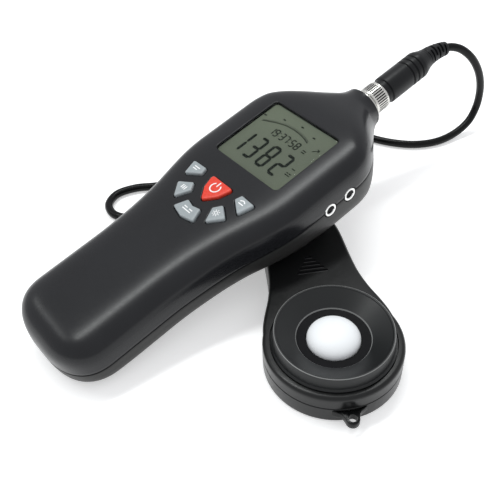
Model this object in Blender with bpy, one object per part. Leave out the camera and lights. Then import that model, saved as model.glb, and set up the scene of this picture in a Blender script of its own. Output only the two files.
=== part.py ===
"""Handheld light meter with a round light probe on a lead. Metres, +Z up.

The meter lies with its bottom end on the ground and its head propped on the probe's handle.
Meter frame: X across, Y from the bottom end towards the socket, Z out of the display face.
Probe frame: origin under the dome, Y towards the tail of the handle, Z up.
"""
import math

import bmesh
import bpy
import numpy as np
from mathutils import Matrix, Vector

MM = 0.001
GAP = 0.3 * MM


def mm(*rows):
    return np.array(rows, dtype=float) * MM


# Placing: CENTRE brings the middle of the box over the origin. Without it the meter's bottom end
# would be over the origin and its long side along Y.
CENTRE = Vector((-0.03705, -0.1020, 0.0))
METER_ORIGIN = CENTRE + Vector((0.0, 0.0, 0.0247))
METER_PITCH = math.radians(12.14)
PROBE_ORIGIN = CENTRE + Vector((0.0792, 0.0982, 0.0))
PROBE_TURN = math.radians(59.5)

# Case of the meter
WALL = 2.2 * MM
SEAM_Z = -15.4 * MM
AXIS_Z = -18.0 * MM
CASE_LENGTH = 194.0 * MM
END_PLAN = 20.0 * MM
END_FRONT = 20.0 * MM
END_REAR = 8.0 * MM
REAR_POWER = 3.5
REAR_STEP = 0.15 * MM
HALF_WIDTH = mm((0, 27.8), (50, 27.8), (74, 29.4), (87, 31.3), (98, 34.0), (110, 36.5), (119, 37.4),
                (153, 37.4), (160, 36.2), (166, 33.2), (172, 28.4), (178, 22.6), (184, 17.0), (190, 12.6),
                (194, 10.8))
FRONT_TOP = mm((0, 0), (160, 0), (168, -0.7), (176, -2.5), (184, -5.0), (194, -7.6))
REAR_DEPTH = mm((0, 10.0), (8, 11.4), (20, 13.5), (32, 14.1), (60, 14.1), (88, 15.2), (106, 17.2),
                (122, 19.4), (138, 21.6), (160, 21.6), (170, 18.6), (180, 13.4), (194, 10.0))
SEAM_LINE = mm((0, -15.4), (160, -15.4), (184, -18.0), (194, -18.0))

# Display
WINDOW_HALF = (21.9 * MM, 19.9 * MM)
WINDOW_Y = 139.0 * MM
WINDOW_CORNER = 2.6 * MM

# Keys: corners of the right-hand ones, in the meter frame
POWER_KEY = mm((-7.4, 106.7), (7.4, 106.7), (5.1, 99.6), (0, 93.4), (-5.1, 99.6))
UPPER_KEY = mm((13.0, 107.3), (21.8, 106.9), (19.4, 98.7), (12.0, 103.6))
LOWER_KEY = mm((10.7, 98.1), (17.5, 93.6), (11.6, 86.5), (7.8, 94.0))
BOTTOM_KEY = mm((-4.5, 90.0), (0, 88.9), (4.5, 90.0), (7.4, 83.3), (0, 81.6), (-7.4, 83.3))

# Connector along the meter's Y axis
RING_Y = 197.2 * MM
RELIEF_LENGTH = 13.3 * MM
RELIEF_LEAN = (1.6 * MM, -1.6 * MM)

# Jack sockets on the right side
JACK_X = 37.4 * MM
JACK_Z = -16.2 * MM
JACK_Y = (135.3 * MM, 147.5 * MM)

# Probe
PROBE_RADIUS = 29.8 * MM
PROBE_SEAM = 8.4 * MM
PROBE_TOP = 15.2 * MM
PROBE_TAIL = 85.0 * MM
PROBE_HALF = mm((9.0, 28.4), (18, 26.4), (28, 22.9), (39, 20.5), (50, 19.6), (64, 18.9), (74, 17.0),
                (80, 14.0), (84, 9.4), (85, 6.5))
LEAD_HEIGHT = 8.4 * MM
TAIL_LENGTH = 15.7 * MM

# Lead
LEAD_RADIUS = 2.15 * MM
COIL_CENTRE = CENTRE + Vector((-0.0460, 0.1880, 0.0))
COIL_INNER = 14.5 * MM
COIL_OUTER = 35.4 * MM
COIL_TOP = 8.8 * MM

ARC_STEPS = 24


# ---------------------------------------------------------------- mesh helpers

def smooth_curve(knots):
    """A monotone cubic through (position, value) knots."""
    at, value = knots[:, 0], knots[:, 1]
    span = np.diff(at)
    slope = np.diff(value) / span
    tangent = np.zeros_like(at)
    for i in range(1, len(at) - 1):
        if slope[i - 1] * slope[i] > 0:
            tangent[i] = 2 / (1 / slope[i - 1] + 1 / slope[i])

    def curve(t):
        i = int(np.clip(np.searchsorted(at, t) - 1, 0, len(span) - 1))
        u = float(np.clip((t - at[i]) / span[i], 0, 1))
        rise = (3 - 2 * u) * u * u
        lead = u * (1 - u) ** 2 * tangent[i] * span[i]
        trail = u * u * (u - 1) * tangent[i + 1] * span[i]
        return value[i] + (value[i + 1] - value[i]) * rise + lead + trail

    return curve


def weld(mesh):
    """Joins points that coincide and turns all faces outwards."""
    shape = bmesh.new()
    shape.from_mesh(mesh)
    bmesh.ops.remove_doubles(shape, verts=shape.verts, dist=2e-6)
    bmesh.ops.recalc_face_normals(shape, faces=shape.faces)
    shape.to_mesh(mesh)
    shape.free()


def link(name, mesh, frame=None):
    piece = bpy.data.objects.new(name, mesh)
    bpy.context.collection.objects.link(piece)
    piece.parent = frame
    return piece


def solid(name, points, faces, frame=None):
    """A closed mesh with its faces pointing out."""
    mesh = bpy.data.meshes.new(name)
    mesh.from_pydata([tuple(p) for p in points], [], faces)
    weld(mesh)
    return link(name, mesh, frame)


def loft(name, rings, frame=None, closed=False):
    """Rings with the same number of points, joined in order; capped at both ends unless closed."""
    count = len(rings[0])
    points = [p for ring in rings for p in ring]
    faces = []
    for level in range(len(rings) if closed else len(rings) - 1):
        low, high = level * count, (level + 1) % len(rings) * count
        for i in range(count):
            j = (i + 1) % count
            faces.append((low + i, low + j, high + j, high + i))
    if not closed:
        faces.append(tuple(range(count))[::-1])
        faces.append(tuple(range(len(points) - count, len(points))))
    return solid(name, points, faces, frame)


def turned(name, profile, frame=None, along="Z", at=(0, 0, 0), steps=ARC_STEPS):
    """A (radius, height) profile turned about an axis.

    A profile that starts and ends at radius 0 gives a solid with flat ends, any other gives a ring.
    """
    turn = {"Z": Matrix.Identity(3), "Y": Matrix.Rotation(-math.pi / 2, 3, "X"),
            "X": Matrix.Rotation(math.pi / 2, 3, "Y")}[along]
    is_ring = profile[0][0] > 0
    rings = []
    for radius, height in (profile if is_ring else profile[1:-1]):
        spots = [Vector((radius * math.cos(a), radius * math.sin(a), height))
                 for a in (2 * math.pi * (k + 0.5) / steps for k in range(steps))]
        rings.append([turn @ spot + Vector(at) for spot in spots])
    return loft(name, rings, frame, is_ring)


def ring_profile(inner, outer, low, high):
    return ((inner, low), (outer, low), (outer, high), (inner, high))


def disc_profile(radius, low, high):
    return ((0, low), (radius, low), (radius, high), (0, high))


def rod(name, radius, low, high, frame, along, at, steps=16):
    return turned(name, disc_profile(radius, low, high), frame, along, at, steps)


def box(name, low, high, frame=None):
    corners = [(low[0], low[1]), (high[0], low[1]), (high[0], high[1]), (low[0], high[1])]
    return loft(name, [[(x, y, z) for x, y in corners] for z in (low[2], high[2])], frame)


def outline(corners, radius=0.0, grow=0.0, steps=3):
    """A polygon moved outwards by grow, with its corners rounded."""
    corners = np.asarray(corners, dtype=float)
    x, y = corners[:, 0], corners[:, 1]
    if np.sum(x * np.roll(y, -1) - y * np.roll(x, -1)) < 0:
        corners = corners[::-1]
    points = []
    for i in range(len(corners)):
        before, here, after = corners[i - 1], corners[i], corners[(i + 1) % len(corners)]
        come = (here - before) / np.linalg.norm(here - before)
        go = (after - here) / np.linalg.norm(after - here)
        come_out = np.array((come[1], -come[0]))
        go_out = np.array((go[1], -go[0]))
        corner = here + grow * (come_out + go_out) / (1 + come_out @ go_out)
        turn = math.acos(float(np.clip(come @ go, -1, 1)))
        cut = (radius + max(grow, 0)) * math.tan(turn / 2)
        if cut < 1e-6 or (radius + grow) < 1e-6:
            points.append(corner)
            continue
        start, end = corner - come * cut, corner + go * cut
        for k in range(steps + 1):
            t = k / steps
            points.append((1 - t) ** 2 * start + 2 * t * (1 - t) * corner + t * t * end)
    return points


def stack(name, levels, frame=None):
    """Outlines at heights: a list of (outline, z)."""
    return loft(name, [[(x, y, z) for x, y in ring] for ring, z in levels], frame)


def carve(piece, tool, how="DIFFERENCE"):
    """Cuts, joins or intersects piece with tool, and removes the tool."""
    cut = piece.modifiers.new(how.lower(), "BOOLEAN")
    cut.object = tool
    cut.operation = how
    bpy.context.view_layer.update()
    shaped = piece.evaluated_get(bpy.context.evaluated_depsgraph_get())
    mesh = bpy.data.meshes.new_from_object(shaped)
    weld(mesh)
    piece.modifiers.clear()
    piece.data = mesh
    bpy.data.objects.remove(tool)


def finish(piece, colour, roughness, metallic=0.0, crease=35):
    """Gives a piece its material and shading."""
    material = bpy.data.materials.new(piece.name)
    material.use_nodes = True
    shader = material.node_tree.nodes["Principled BSDF"]
    shader.inputs["Base Color"].default_value = (*colour, 1)
    shader.inputs["Roughness"].default_value = roughness
    shader.inputs["Metallic"].default_value = metallic
    piece.data.materials.clear()
    piece.data.materials.append(material)
    piece.data.shade_smooth()
    piece.data.set_sharp_from_angle(angle=math.radians(crease))
    return piece


def centre_on(piece, spot):
    """Moves a piece's own origin to a spot of its frame, and leaves the piece in place."""
    piece.data.transform(Matrix.Translation(-Vector(spot)))
    piece.location = Vector(spot)


BLACK = (0.028, 0.030, 0.034)
GREY = (0.42, 0.46, 0.48)
RED = (0.72, 0.06, 0.04)
NICKEL = (0.72, 0.70, 0.66)
BRASS = (0.72, 0.55, 0.25)
BOARD_GREEN = (0.03, 0.16, 0.07)
RUBBER = (0.05, 0.05, 0.05)
STEEL = (0.55, 0.55, 0.56)


# ---------------------------------------------------------------- case of the meter

width_at = smooth_curve(HALF_WIDTH)
top_at = smooth_curve(FRONT_TOP)
depth_at = smooth_curve(REAR_DEPTH)
seam_at = smooth_curve(SEAM_LINE)


def end_fall(y, length, power):
    """Share of the full section that is left near the rounded bottom end."""
    t = min(max((length - y) / length, 0), 1)
    return (1 - t ** power) ** (1 / power)


def squareness(y, front):
    """Superellipse power of the section: square in the head's face, round at the nose."""
    head = min(max((y - 70 * MM) / (40 * MM), 0), 1) if front else 0.0
    nose = min(max((y - 162 * MM) / (26 * MM), 0), 1)
    return (4.0 + head) * (1 - nose) + 2.0 * nose


def case_section(y, inset, front, steps):
    """Half a section at y, from the right seam over the face to the left seam."""
    power = squareness(y, front)
    inner_y = y - inset
    half = (width_at(y) - inset) * end_fall(inner_y, END_PLAN, 2.4)
    if front:
        height = (top_at(y) - seam_at(y) - inset) * end_fall(inner_y, END_FRONT, 3.0)
    else:
        half = half - REAR_STEP * end_fall(inner_y, END_PLAN, 2.4)
        height = -(depth_at(y) - inset) * end_fall(inner_y, END_REAR, REAR_POWER)
    ring = []
    for k in range(steps + 1):
        angle = math.pi * k / steps
        across = abs(math.cos(angle)) ** (2 / power) * math.copysign(1, math.cos(angle))
        up = abs(math.sin(angle)) ** (2 / power) if 0 < k < steps else 0.0
        ring.append((half * across, y, seam_at(y) + height * up))
    return ring


def case_stations(first, last):
    """Section positions: close together round the end and the shoulders."""
    end = [first + END_PLAN * (1 - math.cos(math.radians(a))) for a in (3, 13, 25, 38, 52, 70)]
    body = [v * MM for v in (24, 50, 68, 80, 92, 104, 116, 138, 154, 160, 165, 170, 175, 180, 186)]
    return [y for y in end + body if y < last - 1 * MM] + [last]


def case_half(name, front, posts, frame):
    """One shell: the outer shape less the room inside, which the posts stand in."""
    side = 1 if front else -1
    outer = loft(name, [case_section(y, 0, front, 16) for y in case_stations(0, CASE_LENGTH)], frame)
    rings = []
    for y in case_stations(WALL, 178 * MM):
        ring = case_section(y, WALL, front, 10)
        below = seam_at(y) - side * 4 * MM
        rings.append([(ring[0][0], y, below)] + ring + [(ring[-1][0], y, below)])
    room = loft("room", rings, frame)
    for post in posts:
        carve(room, post)
    carve(outer, room)
    if not front:
        trim = loft("trim", [[(x, y, seam_at(y) + z) for x, z in
                              ((-0.05, -GAP), (0.05, -GAP), (0.05, 0.01), (-0.05, 0.01))]
                             for y in (-0.01, 0.16, 0.1675, 0.172, 0.178, 0.184, 0.2)], frame)
        carve(outer, trim)
    return outer


def mirrored(corners):
    return corners * np.array((-1, 1))


KEYS = {"power_button": POWER_KEY, "key_right_upper": UPPER_KEY, "key_right_lower": LOWER_KEY,
        "key_bottom": BOTTOM_KEY, "key_left_lower": mirrored(LOWER_KEY),
        "key_left_upper": mirrored(UPPER_KEY)}


def window_corners(margin=0.0):
    w, h = WINDOW_HALF[0] + margin, WINDOW_HALF[1] + margin
    return [(-w, WINDOW_Y - h), (w, WINDOW_Y - h), (w, WINDOW_Y + h), (-w, WINDOW_Y + h)]


POSTS = mm((22.0, 81.0), (-22.0, 81.0), (29.6, 161.0), (-29.6, 161.0))


def cut_side_and_nose(case, frame):
    """Openings that both shells share: the two jacks and the socket."""
    for y in JACK_Y:
        carve(case, rod("jack_hole", 3.8 * MM, 0.028, 0.045, frame, "X", (0, y, JACK_Z), 24))
    carve(case, rod("socket_hole", 6.6 * MM, 0.170, 0.2, frame, "Y", (0, 0, AXIS_Z), 24))


def make_front_case(frame):
    posts = [rod("post", 3.2 * MM, -14.6 * MM, 9 * MM, frame, "Z", (x, y, 0)) for x, y in POSTS]
    case = case_half("front_case", True, posts, frame)
    carve(case, stack("window_hole", [(outline(window_corners(), WINDOW_CORNER), z)
                                      for z in (-5 * MM, 5 * MM)], frame))
    for corners in KEYS.values():
        carve(case, stack("key_hole", [(outline(corners, 1.0 * MM, 0.35 * MM), z)
                                       for z in (-5 * MM, 5 * MM)], frame))
    for x, y in POSTS:
        carve(case, rod("post_hole", 1.8 * MM, -16 * MM, -5 * MM, frame, "Z", (x, y, 0), 12))
    cut_side_and_nose(case, frame)
    return finish(case, BLACK, 0.42)


DOOR_LOW_Y = 12.0 * MM
DOOR_HIGH_Y = 70.0 * MM
DOOR_HALF = 20.0 * MM
DOOR_SCREW_Y = 17.5 * MM
INSERT_Y = 92.0 * MM


def rear_face(y):
    return seam_at(y) - depth_at(y) * end_fall(y, END_REAR, REAR_POWER)


LEDGE_TOP = -21.4 * MM
TAB_TOP = -24.6 * MM
DOOR_SEAT = -27.0 * MM


def make_rear_case_and_door(frame):
    seat = rear_face(INSERT_Y)
    posts = [rod("post", 4.2 * MM, -60 * MM, -17.6 * MM, frame, "Z", (x, y, 0)) for x, y in POSTS]
    posts.append(rod("insert_post", 6.6 * MM, -60 * MM, seat + 10 * MM, frame, "Z", (0, INSERT_Y, 0)))
    posts.append(box("ledge", (-6 * MM, -5 * MM, LEDGE_TOP - 2 * MM), (6 * MM, 20 * MM, LEDGE_TOP), frame))
    case = case_half("rear_case", False, posts, frame)
    door = link("battery_door", case.data.copy(), frame)
    cover = box("under_ledge", (-DOOR_HALF - GAP, DOOR_LOW_Y - GAP, -40 * MM),
                (DOOR_HALF + GAP, DOOR_HIGH_Y + GAP, LEDGE_TOP - 2 * MM), frame)
    carve(case, cover)
    carve(door, box("door_block", (-DOOR_HALF, DOOR_LOW_Y, -40 * MM),
                    (DOOR_HALF, DOOR_HIGH_Y, LEDGE_TOP - 2.3 * MM), frame), "INTERSECT")
    carve(case, rod("ledge_hole", 2.4 * MM, -30 * MM, -15 * MM, frame, "Z", (0, DOOR_SCREW_Y, 0)))
    for x, y in POSTS:
        carve(case, rod("head_hole", 3.2 * MM, -60 * MM, -22.6 * MM, frame, "Z", (x, y, 0)))
        carve(case, rod("shaft_hole", 1.8 * MM, -60 * MM, -10 * MM, frame, "Z", (x, y, 0), 12))
    carve(case, rod("insert_hole", 4.8 * MM, -60 * MM, seat + 9.2 * MM, frame, "Z", (0, INSERT_Y, 0), 24))
    cut_side_and_nose(case, frame)
    for side in (-1, 1):
        left, right = side * 16 * MM - 2 * MM, side * 16 * MM + 2 * MM
        carve(door, box("tab_root", (left, 65 * MM, -27.4 * MM), (right, 69 * MM, TAB_TOP), frame), "UNION")
        carve(door, box("tab", (left, 67 * MM, TAB_TOP - 1.2 * MM), (right, 73 * MM, TAB_TOP), frame),
              "UNION")
    carve(door, rod("screw_boss", 3.8 * MM, -27.6 * MM, -25.6 * MM, frame, "Z", (0, DOOR_SCREW_Y, 0)),
          "UNION")
    carve(door, rod("screw_hole", 1.7 * MM, -60 * MM, -15 * MM, frame, "Z", (0, DOOR_SCREW_Y, 0), 12))
    carve(door, rod("screw_seat", 2.9 * MM, -60 * MM, DOOR_SEAT, frame, "Z", (0, DOOR_SCREW_Y, 0)))
    centre_on(door, (0, DOOR_HIGH_Y, rear_face(DOOR_HIGH_Y)))
    finish(case, BLACK, 0.5)
    finish(door, BLACK, 0.5)


def make_screw(name, frame, at, head, shaft, head_depth, length):
    """A pan-head screw pointing up, with a slot in its head."""
    profile = ((0, 0), (head * 0.8, 0), (head, 0.3 * head_depth), (head, head_depth), (shaft, head_depth),
               (shaft, length), (0, length))
    screw = turned(name, profile, frame, "Z", at, 12)
    x, y, z = at
    carve(screw, box("slot", (x - head * 1.2, y - head * 0.14, z - MM),
                     (x + head * 1.2, y + head * 0.14, z + head_depth * 0.45), frame))
    return finish(screw, STEEL, 0.35, 1.0)


def make_screws(frame):
    for n, (x, y) in enumerate(POSTS):
        make_screw(f"case_screw_{n + 1}", frame, (x, y, -24.9 * MM), 2.8 * MM, 1.4 * MM, 2.0 * MM, 18 * MM)
    make_screw("battery_door_screw", frame, (0, DOOR_SCREW_Y, -28.0 * MM), 2.4 * MM, 1.3 * MM, 0.7 * MM,
               8.5 * MM)


# ---------------------------------------------------------------- display and electronics

def make_display(frame):
    """The clear window, and under it the panel, whose front glass stands up into the opening."""
    rim = outline(window_corners(-GAP), WINDOW_CORNER)
    finish(stack("display_window", [(rim, -1.6 * MM), (rim, -0.45 * MM)], frame), (0.5, 0.53, 0.46), 0.08)
    cell = box("lcd_panel", (-23.4 * MM, 117.8 * MM, -4.8 * MM), (23.4 * MM, 159.6 * MM, -3.0 * MM), frame)
    carve(cell, stack("front_glass", [(rim, -3.6 * MM), (rim, -1.8 * MM)], frame), "UNION")
    finish(cell, (0.34, 0.36, 0.29), 0.2)
    light = box("backlight_panel", (-23.0 * MM, 121 * MM, -7.4 * MM), (23.0 * MM, 158 * MM, -5.1 * MM), frame)
    finish(light, (0.8, 0.8, 0.78), 0.4)
    strip = box("zebra_strip", (-22 * MM, 118 * MM, -9.0 * MM), (22 * MM, 120.6 * MM, -5.1 * MM), frame)
    finish(strip, RUBBER, 0.7)
    holder = box("lcd_frame", (-25.2 * MM, 116 * MM, -9.0 * MM), (25.2 * MM, 161.4 * MM, -3.4 * MM), frame)
    carve(holder, box("room", (-23.7 * MM, 117.5 * MM, -12 * MM), (23.7 * MM, 159.9 * MM, 0), frame))
    finish(holder, (0.6, 0.6, 0.58), 0.5)


def make_board(frame):
    stations = [v * MM for v in (76, 88, 100, 112, 124, 150, 160, 166)]
    right = [(width_at(y) - 5.5 * MM, y) for y in stations]
    left = [(-x, y) for x, y in reversed(right)]
    board = stack("main_board", [(right + left, -11.0 * MM), (right + left, -9.4 * MM)], frame)
    for x, y in POSTS:
        carve(board, rod("notch", 3.8 * MM, -14 * MM, -6 * MM, frame, "Z", (x, y, 0), 16))
    finish(board, BOARD_GREEN, 0.45)
    pad = stack("keypad_membrane", [
        (outline(mm((-23, 82), (23, 98), (23, 109), (-23, 109), (-23, 98)), 2 * MM), z)
        for z in (-9.0 * MM, -6.2 * MM)], frame)
    for x, y in POSTS[:2]:
        carve(pad, rod("notch", 3.8 * MM, -14 * MM, -4 * MM, frame, "Z", (x, y, 0), 16))
    finish(pad, (0.55, 0.56, 0.58), 0.7)
    buzzer = turned("buzzer", ((0, 0), (6 * MM, 0), (6 * MM, 4 * MM), (0, 4 * MM)), frame, "Z",
                    (-14 * MM, 128 * MM, -15.4 * MM), 24)
    finish(buzzer, RUBBER, 0.4)


def make_keys(frame):
    """Each key: a flange under the shell and a cap with a small edge bevel."""
    for name, corners in KEYS.items():
        levels = [(1.0, -5.0), (1.0, -4.2), (0.0, -4.2), (0.0, 0.5), (-0.25, 0.9), (-0.8, 1.15)]
        key = stack(name, [(outline(corners, 0.9 * MM, grow * MM), z * MM) for grow, z in levels], frame)
        middle = corners.mean(axis=0)
        centre_on(key, (middle[0], middle[1], 0))
        red = name == "power_button"
        finish(key, RED if red else GREY, 0.3)


def make_battery(frame):
    block = box("battery", (-13.2 * MM, 20.5 * MM, -25.2 * MM), (13.2 * MM, 69.0 * MM, -7.7 * MM), frame)
    edge = block.modifiers.new("edge", "BEVEL")
    edge.width = 1.6 * MM
    edge.segments = 2
    finish(block, (0.10, 0.11, 0.13), 0.3, 0.5)
    snap = box("battery_snap", (-12.6 * MM, 69.4 * MM, -24 * MM), (12.6 * MM, 73.4 * MM, -9.4 * MM), frame)
    finish(snap, RUBBER, 0.6)


def make_tripod_insert(frame):
    seat = rear_face(INSERT_Y)
    insert = turned("tripod_insert", ring_profile(3.3 * MM, 4.5 * MM, seat + 0.1 * MM, seat + 8.6 * MM),
                    frame, "Z", (0, INSERT_Y, 0), 24)
    finish(insert, BRASS, 0.35, 1.0)


def make_jacks(frame):
    for n, y in enumerate(JACK_Y):
        at = (0, y, JACK_Z)
        bush = turned(f"jack_bush_{n + 1}", ring_profile(2.2 * MM, 3.4 * MM, 35.4 * MM, JACK_X), frame, "X",
                      at, 24)
        finish(bush, NICKEL, 0.22, 1.0)
        cup = ((0, 24), (3.3, 24), (3.3, 35.1), (1.8, 35.1), (1.8, 26), (0, 26))
        body = turned(f"jack_body_{n + 1}", [(r * MM, x * MM) for r, x in cup], frame, "X", at, 20)
        finish(body, RUBBER, 0.5)


# ---------------------------------------------------------------- connector

def along_axis(name, profile, frame, colour, roughness, metallic=0.0, steps=ARC_STEPS):
    piece = turned(name, [(r * MM, y * MM) for r, y in profile], frame, "Y", (0, 0, AXIS_Z), steps)
    return finish(piece, colour, roughness, metallic)


def make_socket(frame):
    cup = ((0, 178), (6.2, 178), (6.2, 201.0), (4.9, 201.0), (4.9, 183), (0, 183))
    along_axis("socket_body", cup, frame, NICKEL, 0.25, 1.0)
    along_axis("socket_washer", ring_profile(6.5, 7.9, 194.3, 196.6), frame, NICKEL, 0.2, 1.0)
    insert = along_axis("socket_insert", disc_profile(4.6, 183.3, 190.5), frame, RUBBER, 0.5, steps=20)
    for x, z in PIN_SPOTS:
        carve(insert, rod("pin_hole", 0.85 * MM, 0.184, 0.2, frame, "Y", (x, 0, AXIS_Z + z), 10))
    finish(insert, RUBBER, 0.5)


PIN_SPOTS = mm((2.2, 0), (0, 2.2), (-2.2, 0), (0, -2.2))


def make_plug(frame):
    sleeve = ring_profile(3.9, 4.5, 190.9, 208.5)
    flange = ((4.5, 201.6), (6.1, 201.6), (6.1, 203.2), (4.5, 203.2))
    profile = sleeve[:2] + flange + sleeve[2:]
    along_axis("plug_sleeve", profile, frame, NICKEL, 0.25, 1.0, 24)
    insert = along_axis("plug_insert", disc_profile(3.6, 199.0, 206.0), frame, RUBBER, 0.5, steps=20)
    for x, z in PIN_SPOTS:
        carve(insert, rod("pin", 0.5 * MM, 0.185, 0.200, frame, "Y", (x, 0, AXIS_Z + z), 8), "UNION")
    finish(insert, RUBBER, 0.5)
    ring = ((6.5, 197.2), (7.1, 197.2), (7.35, 197.5), (7.35, 205.5), (7.0, 205.9), (4.9, 205.9),
            (4.9, 203.6), (6.5, 203.6))
    locking = along_axis("locking_ring", ring, frame, NICKEL, 0.28, 1.0, 32)
    centre_on(locking, (0, RING_Y, AXIS_Z))
    grooves = []
    for y in (223.6, 226.9, 230.2):
        grooves += [(7.2, y), (6.6, y + 0.3), (6.6, y + 1.1), (7.2, y + 1.4)]
    body = [(0, 209.0), (4.8, 209.0), (4.8, 206.3), (7.1, 206.3), (7.2, 207.0)] + grooves + \
        [(7.2, 233.6), (6.8, 235.0), (5.5, 238.4), (5.2, 240.0), (0, 240.0)]
    along_axis("plug_body", body, frame, BLACK, 0.45)
    make_relief("plug_strain_relief", frame, (0, 240.3 * MM, AXIS_Z), 5.0 * MM, 3.6 * MM, RELIEF_LENGTH,
                RELIEF_LEAN)


def relief_centre(start, length, lean, y):
    """A point of a strain relief's middle line, which leans over more and more, and its direction."""
    share = y / length
    spot = Vector(start) + Vector((lean[0] * share * share, y, lean[1] * share * share))
    return spot, Vector((2 * lean[0] * share / length, 1, 2 * lean[1] * share / length)).normalized()


def make_relief(name, frame, start, wide, narrow, length, lean):
    """A tapered sleeve with three grooves, leaning sideways by lean at its end."""
    profile = [(wide, 0.0)]
    for k in range(3):
        y = (0.08 + 0.31 * k) * length
        radius = wide + (narrow - wide) * y / length
        profile += [(radius, y), (radius - 1.0 * MM, y + 0.1 * MM), (radius - 1.1 * MM, y + 1.4 * MM),
                    (radius - 0.1 * MM, y + 1.5 * MM)]
    profile.append((narrow, length))
    rings = []
    for radius, y in profile:
        spot, ahead = relief_centre(start, length, lean, y)
        right = ahead.cross(Vector((0, 0, 1))).normalized()
        up = right.cross(ahead)
        rings.append([spot + radius * (math.cos(a) * right + math.sin(a) * up)
                      for a in (2 * math.pi * k / 24 for k in range(24))])
    finish(loft(name, rings, frame), BLACK, 0.5)


# ---------------------------------------------------------------- probe

probe_half_at = smooth_curve(PROBE_HALF)


def probe_outline(inset, steps=30):
    """Plan of the probe: a disc whose sides sweep into the handle."""
    start = PROBE_HALF[0]
    join = math.atan2(start[0], start[1])
    radius = PROBE_RADIUS - inset
    ring = []
    for k in range(steps + 1):
        angle = -math.pi - join + (math.pi + 2 * join) * k / steps
        ring.append((radius * math.cos(angle), radius * math.sin(angle)))
    stations = [v * MM for v in (14, 20, 27, 34, 42, 52, 62, 69, 74, 78, 81, 83, 84.3, 85)]
    right = [(probe_half_at(y) - inset, y if y < 70 * MM else y - inset * (y - 70 * MM) / (15 * MM))
             for y in stations]
    return ring + right + [(-x, y) for x, y in reversed(right)]


SCREW_SPOTS = mm((20.5, -11.0), (-20.5, -11.0), (0, 62.0))
GRIP_GROOVES = mm((40.0, 7.2), (42.3, 5.9), (44.6, 4.6), (46.9, 3.3), (49.2, 2.0))


def make_probe_covers(frame):
    top = stack("sensor_top_cover", [(probe_outline(i * MM), z * MM) for i, z in
                                     ((0.0, 8.6), (0.1, 13.4), (0.5, 14.5), (1.4, 15.2))], frame)
    carve(top, stack("room", [(probe_outline(2.3 * MM), z * MM) for z in (7.0, 11.6)], frame))
    carve(top, rod("cone_seat", 26.9 * MM, 13.7 * MM, 20 * MM, frame, "Z", (0, 0, 0), 48))
    carve(top, rod("light_hole", 10.3 * MM, 8 * MM, 20 * MM, frame, "Z", (0, 0, 0), 32))
    for x, y in SCREW_SPOTS:
        carve(top, rod("post", 3.2 * MM, 8.9 * MM, 12.4 * MM, frame, "Z", (x, y, 0)), "UNION")
        carve(top, rod("post_hole", 1.7 * MM, 8 * MM, 12.9 * MM, frame, "Z", (x, y, 0), 12))
    for y, half in GRIP_GROOVES:
        carve(top, box("groove", (-half, y - 0.55 * MM, 14.5 * MM), (half, y + 0.55 * MM, 17 * MM), frame))
    base = stack("sensor_bottom_cover", [(probe_outline(i * MM), z * MM) for i, z in
                                         ((1.5, 0), (0.7, 0.4), (0.3, 1.4), (0.0, 8.3))], frame)
    carve(base, stack("room", [(probe_outline(2.3 * MM), z * MM) for z in (2.2, 10)], frame))
    for x, y in SCREW_SPOTS:
        carve(base, rod("post", 4.4 * MM, 1.0 * MM, 6.4 * MM, frame, "Z", (x, y, 0)), "UNION")
        carve(base, rod("head_hole", 3.1 * MM, -2 * MM, 3.4 * MM, frame, "Z", (x, y, 0), 16))
        carve(base, rod("shaft_hole", 1.7 * MM, -2 * MM, 10 * MM, frame, "Z", (x, y, 0), 12))
    for cover in (top, base):
        carve(cover, rod("lead_hole", 3.0 * MM, 60 * MM, 100 * MM, frame, "Y", (0, 0, LEAD_HEIGHT), 16))
        finish(cover, BLACK, 0.42)
    for n, (x, y) in enumerate(SCREW_SPOTS):
        make_screw(f"sensor_screw_{n + 1}", frame, (x, y, 0.6 * MM), 2.7 * MM, 1.3 * MM, 2.0 * MM, 11.2 * MM)


def make_probe_optics(frame):
    cone = [(11.7, 14.0), (26.5, 14.0), (26.5, 15.4), (25.7, 16.2), (25.1, 21.2), (24.9, 21.6), (24.2, 21.6),
            (15.7, 16.8), (15.3, 16.2), (11.7, 16.0)]
    ring = turned("light_cone", [(r * MM, z * MM) for r, z in cone], frame, "Z", steps=48)
    finish(ring, BLACK, 0.35)
    crown, rim, rise = 16.0, 11.35, 5.8
    arc = [(rim * math.cos(math.radians(a)), crown + rise * math.sin(math.radians(a)))
           for a in (15, 32, 48, 62, 74, 84)]
    dome = [(0, 14.0), (rim, 14.0), (rim, crown)] + arc + [(0, crown + rise)]
    piece = turned("diffuser_dome", [(r * MM, z * MM) for r, z in dome], frame, "Z", steps=32)
    finish(piece, (0.93, 0.94, 0.95), 0.4)
    glass = turned("colour_filter", [(r * MM, z * MM) for r, z in disc_profile(9.9, 12.0, 13.6)], frame,
                   "Z", steps=24)
    finish(glass, (0.35, 0.6, 0.62), 0.1)
    cell = box("photodiode", mm((-6, -6, 8.9))[0], mm((6, 6, 11.3))[0], frame)
    finish(cell, (0.12, 0.12, 0.16), 0.2)
    board = box("sensor_board", mm((-15, -17, 7.0))[0], mm((15, 17, 8.6))[0], frame)
    finish(board, BOARD_GREEN, 0.45)


def make_lanyard_lug(frame):
    """A small eye on the rim, opposite the handle."""
    rim = PROBE_RADIUS + GAP
    base = [(rim * math.sin(math.radians(a)), -rim * math.cos(math.radians(a))) for a in (13, 6, 0, -6, -13)]
    eye = 33.6 * MM
    tip = [(2.9 * MM * math.cos(math.radians(a)), -eye + 2.9 * MM * math.sin(math.radians(a)))
           for a in range(195, 346, 25)]
    lug = stack("lanyard_lug", [(base + tip, z * MM) for z in (4.4, 7.6)], frame)
    carve(lug, rod("eye", 1.7 * MM, 0, 12 * MM, frame, "Z", (0, -eye, 0), 16))
    finish(lug, BLACK, 0.35)


# ---------------------------------------------------------------- lead

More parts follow.
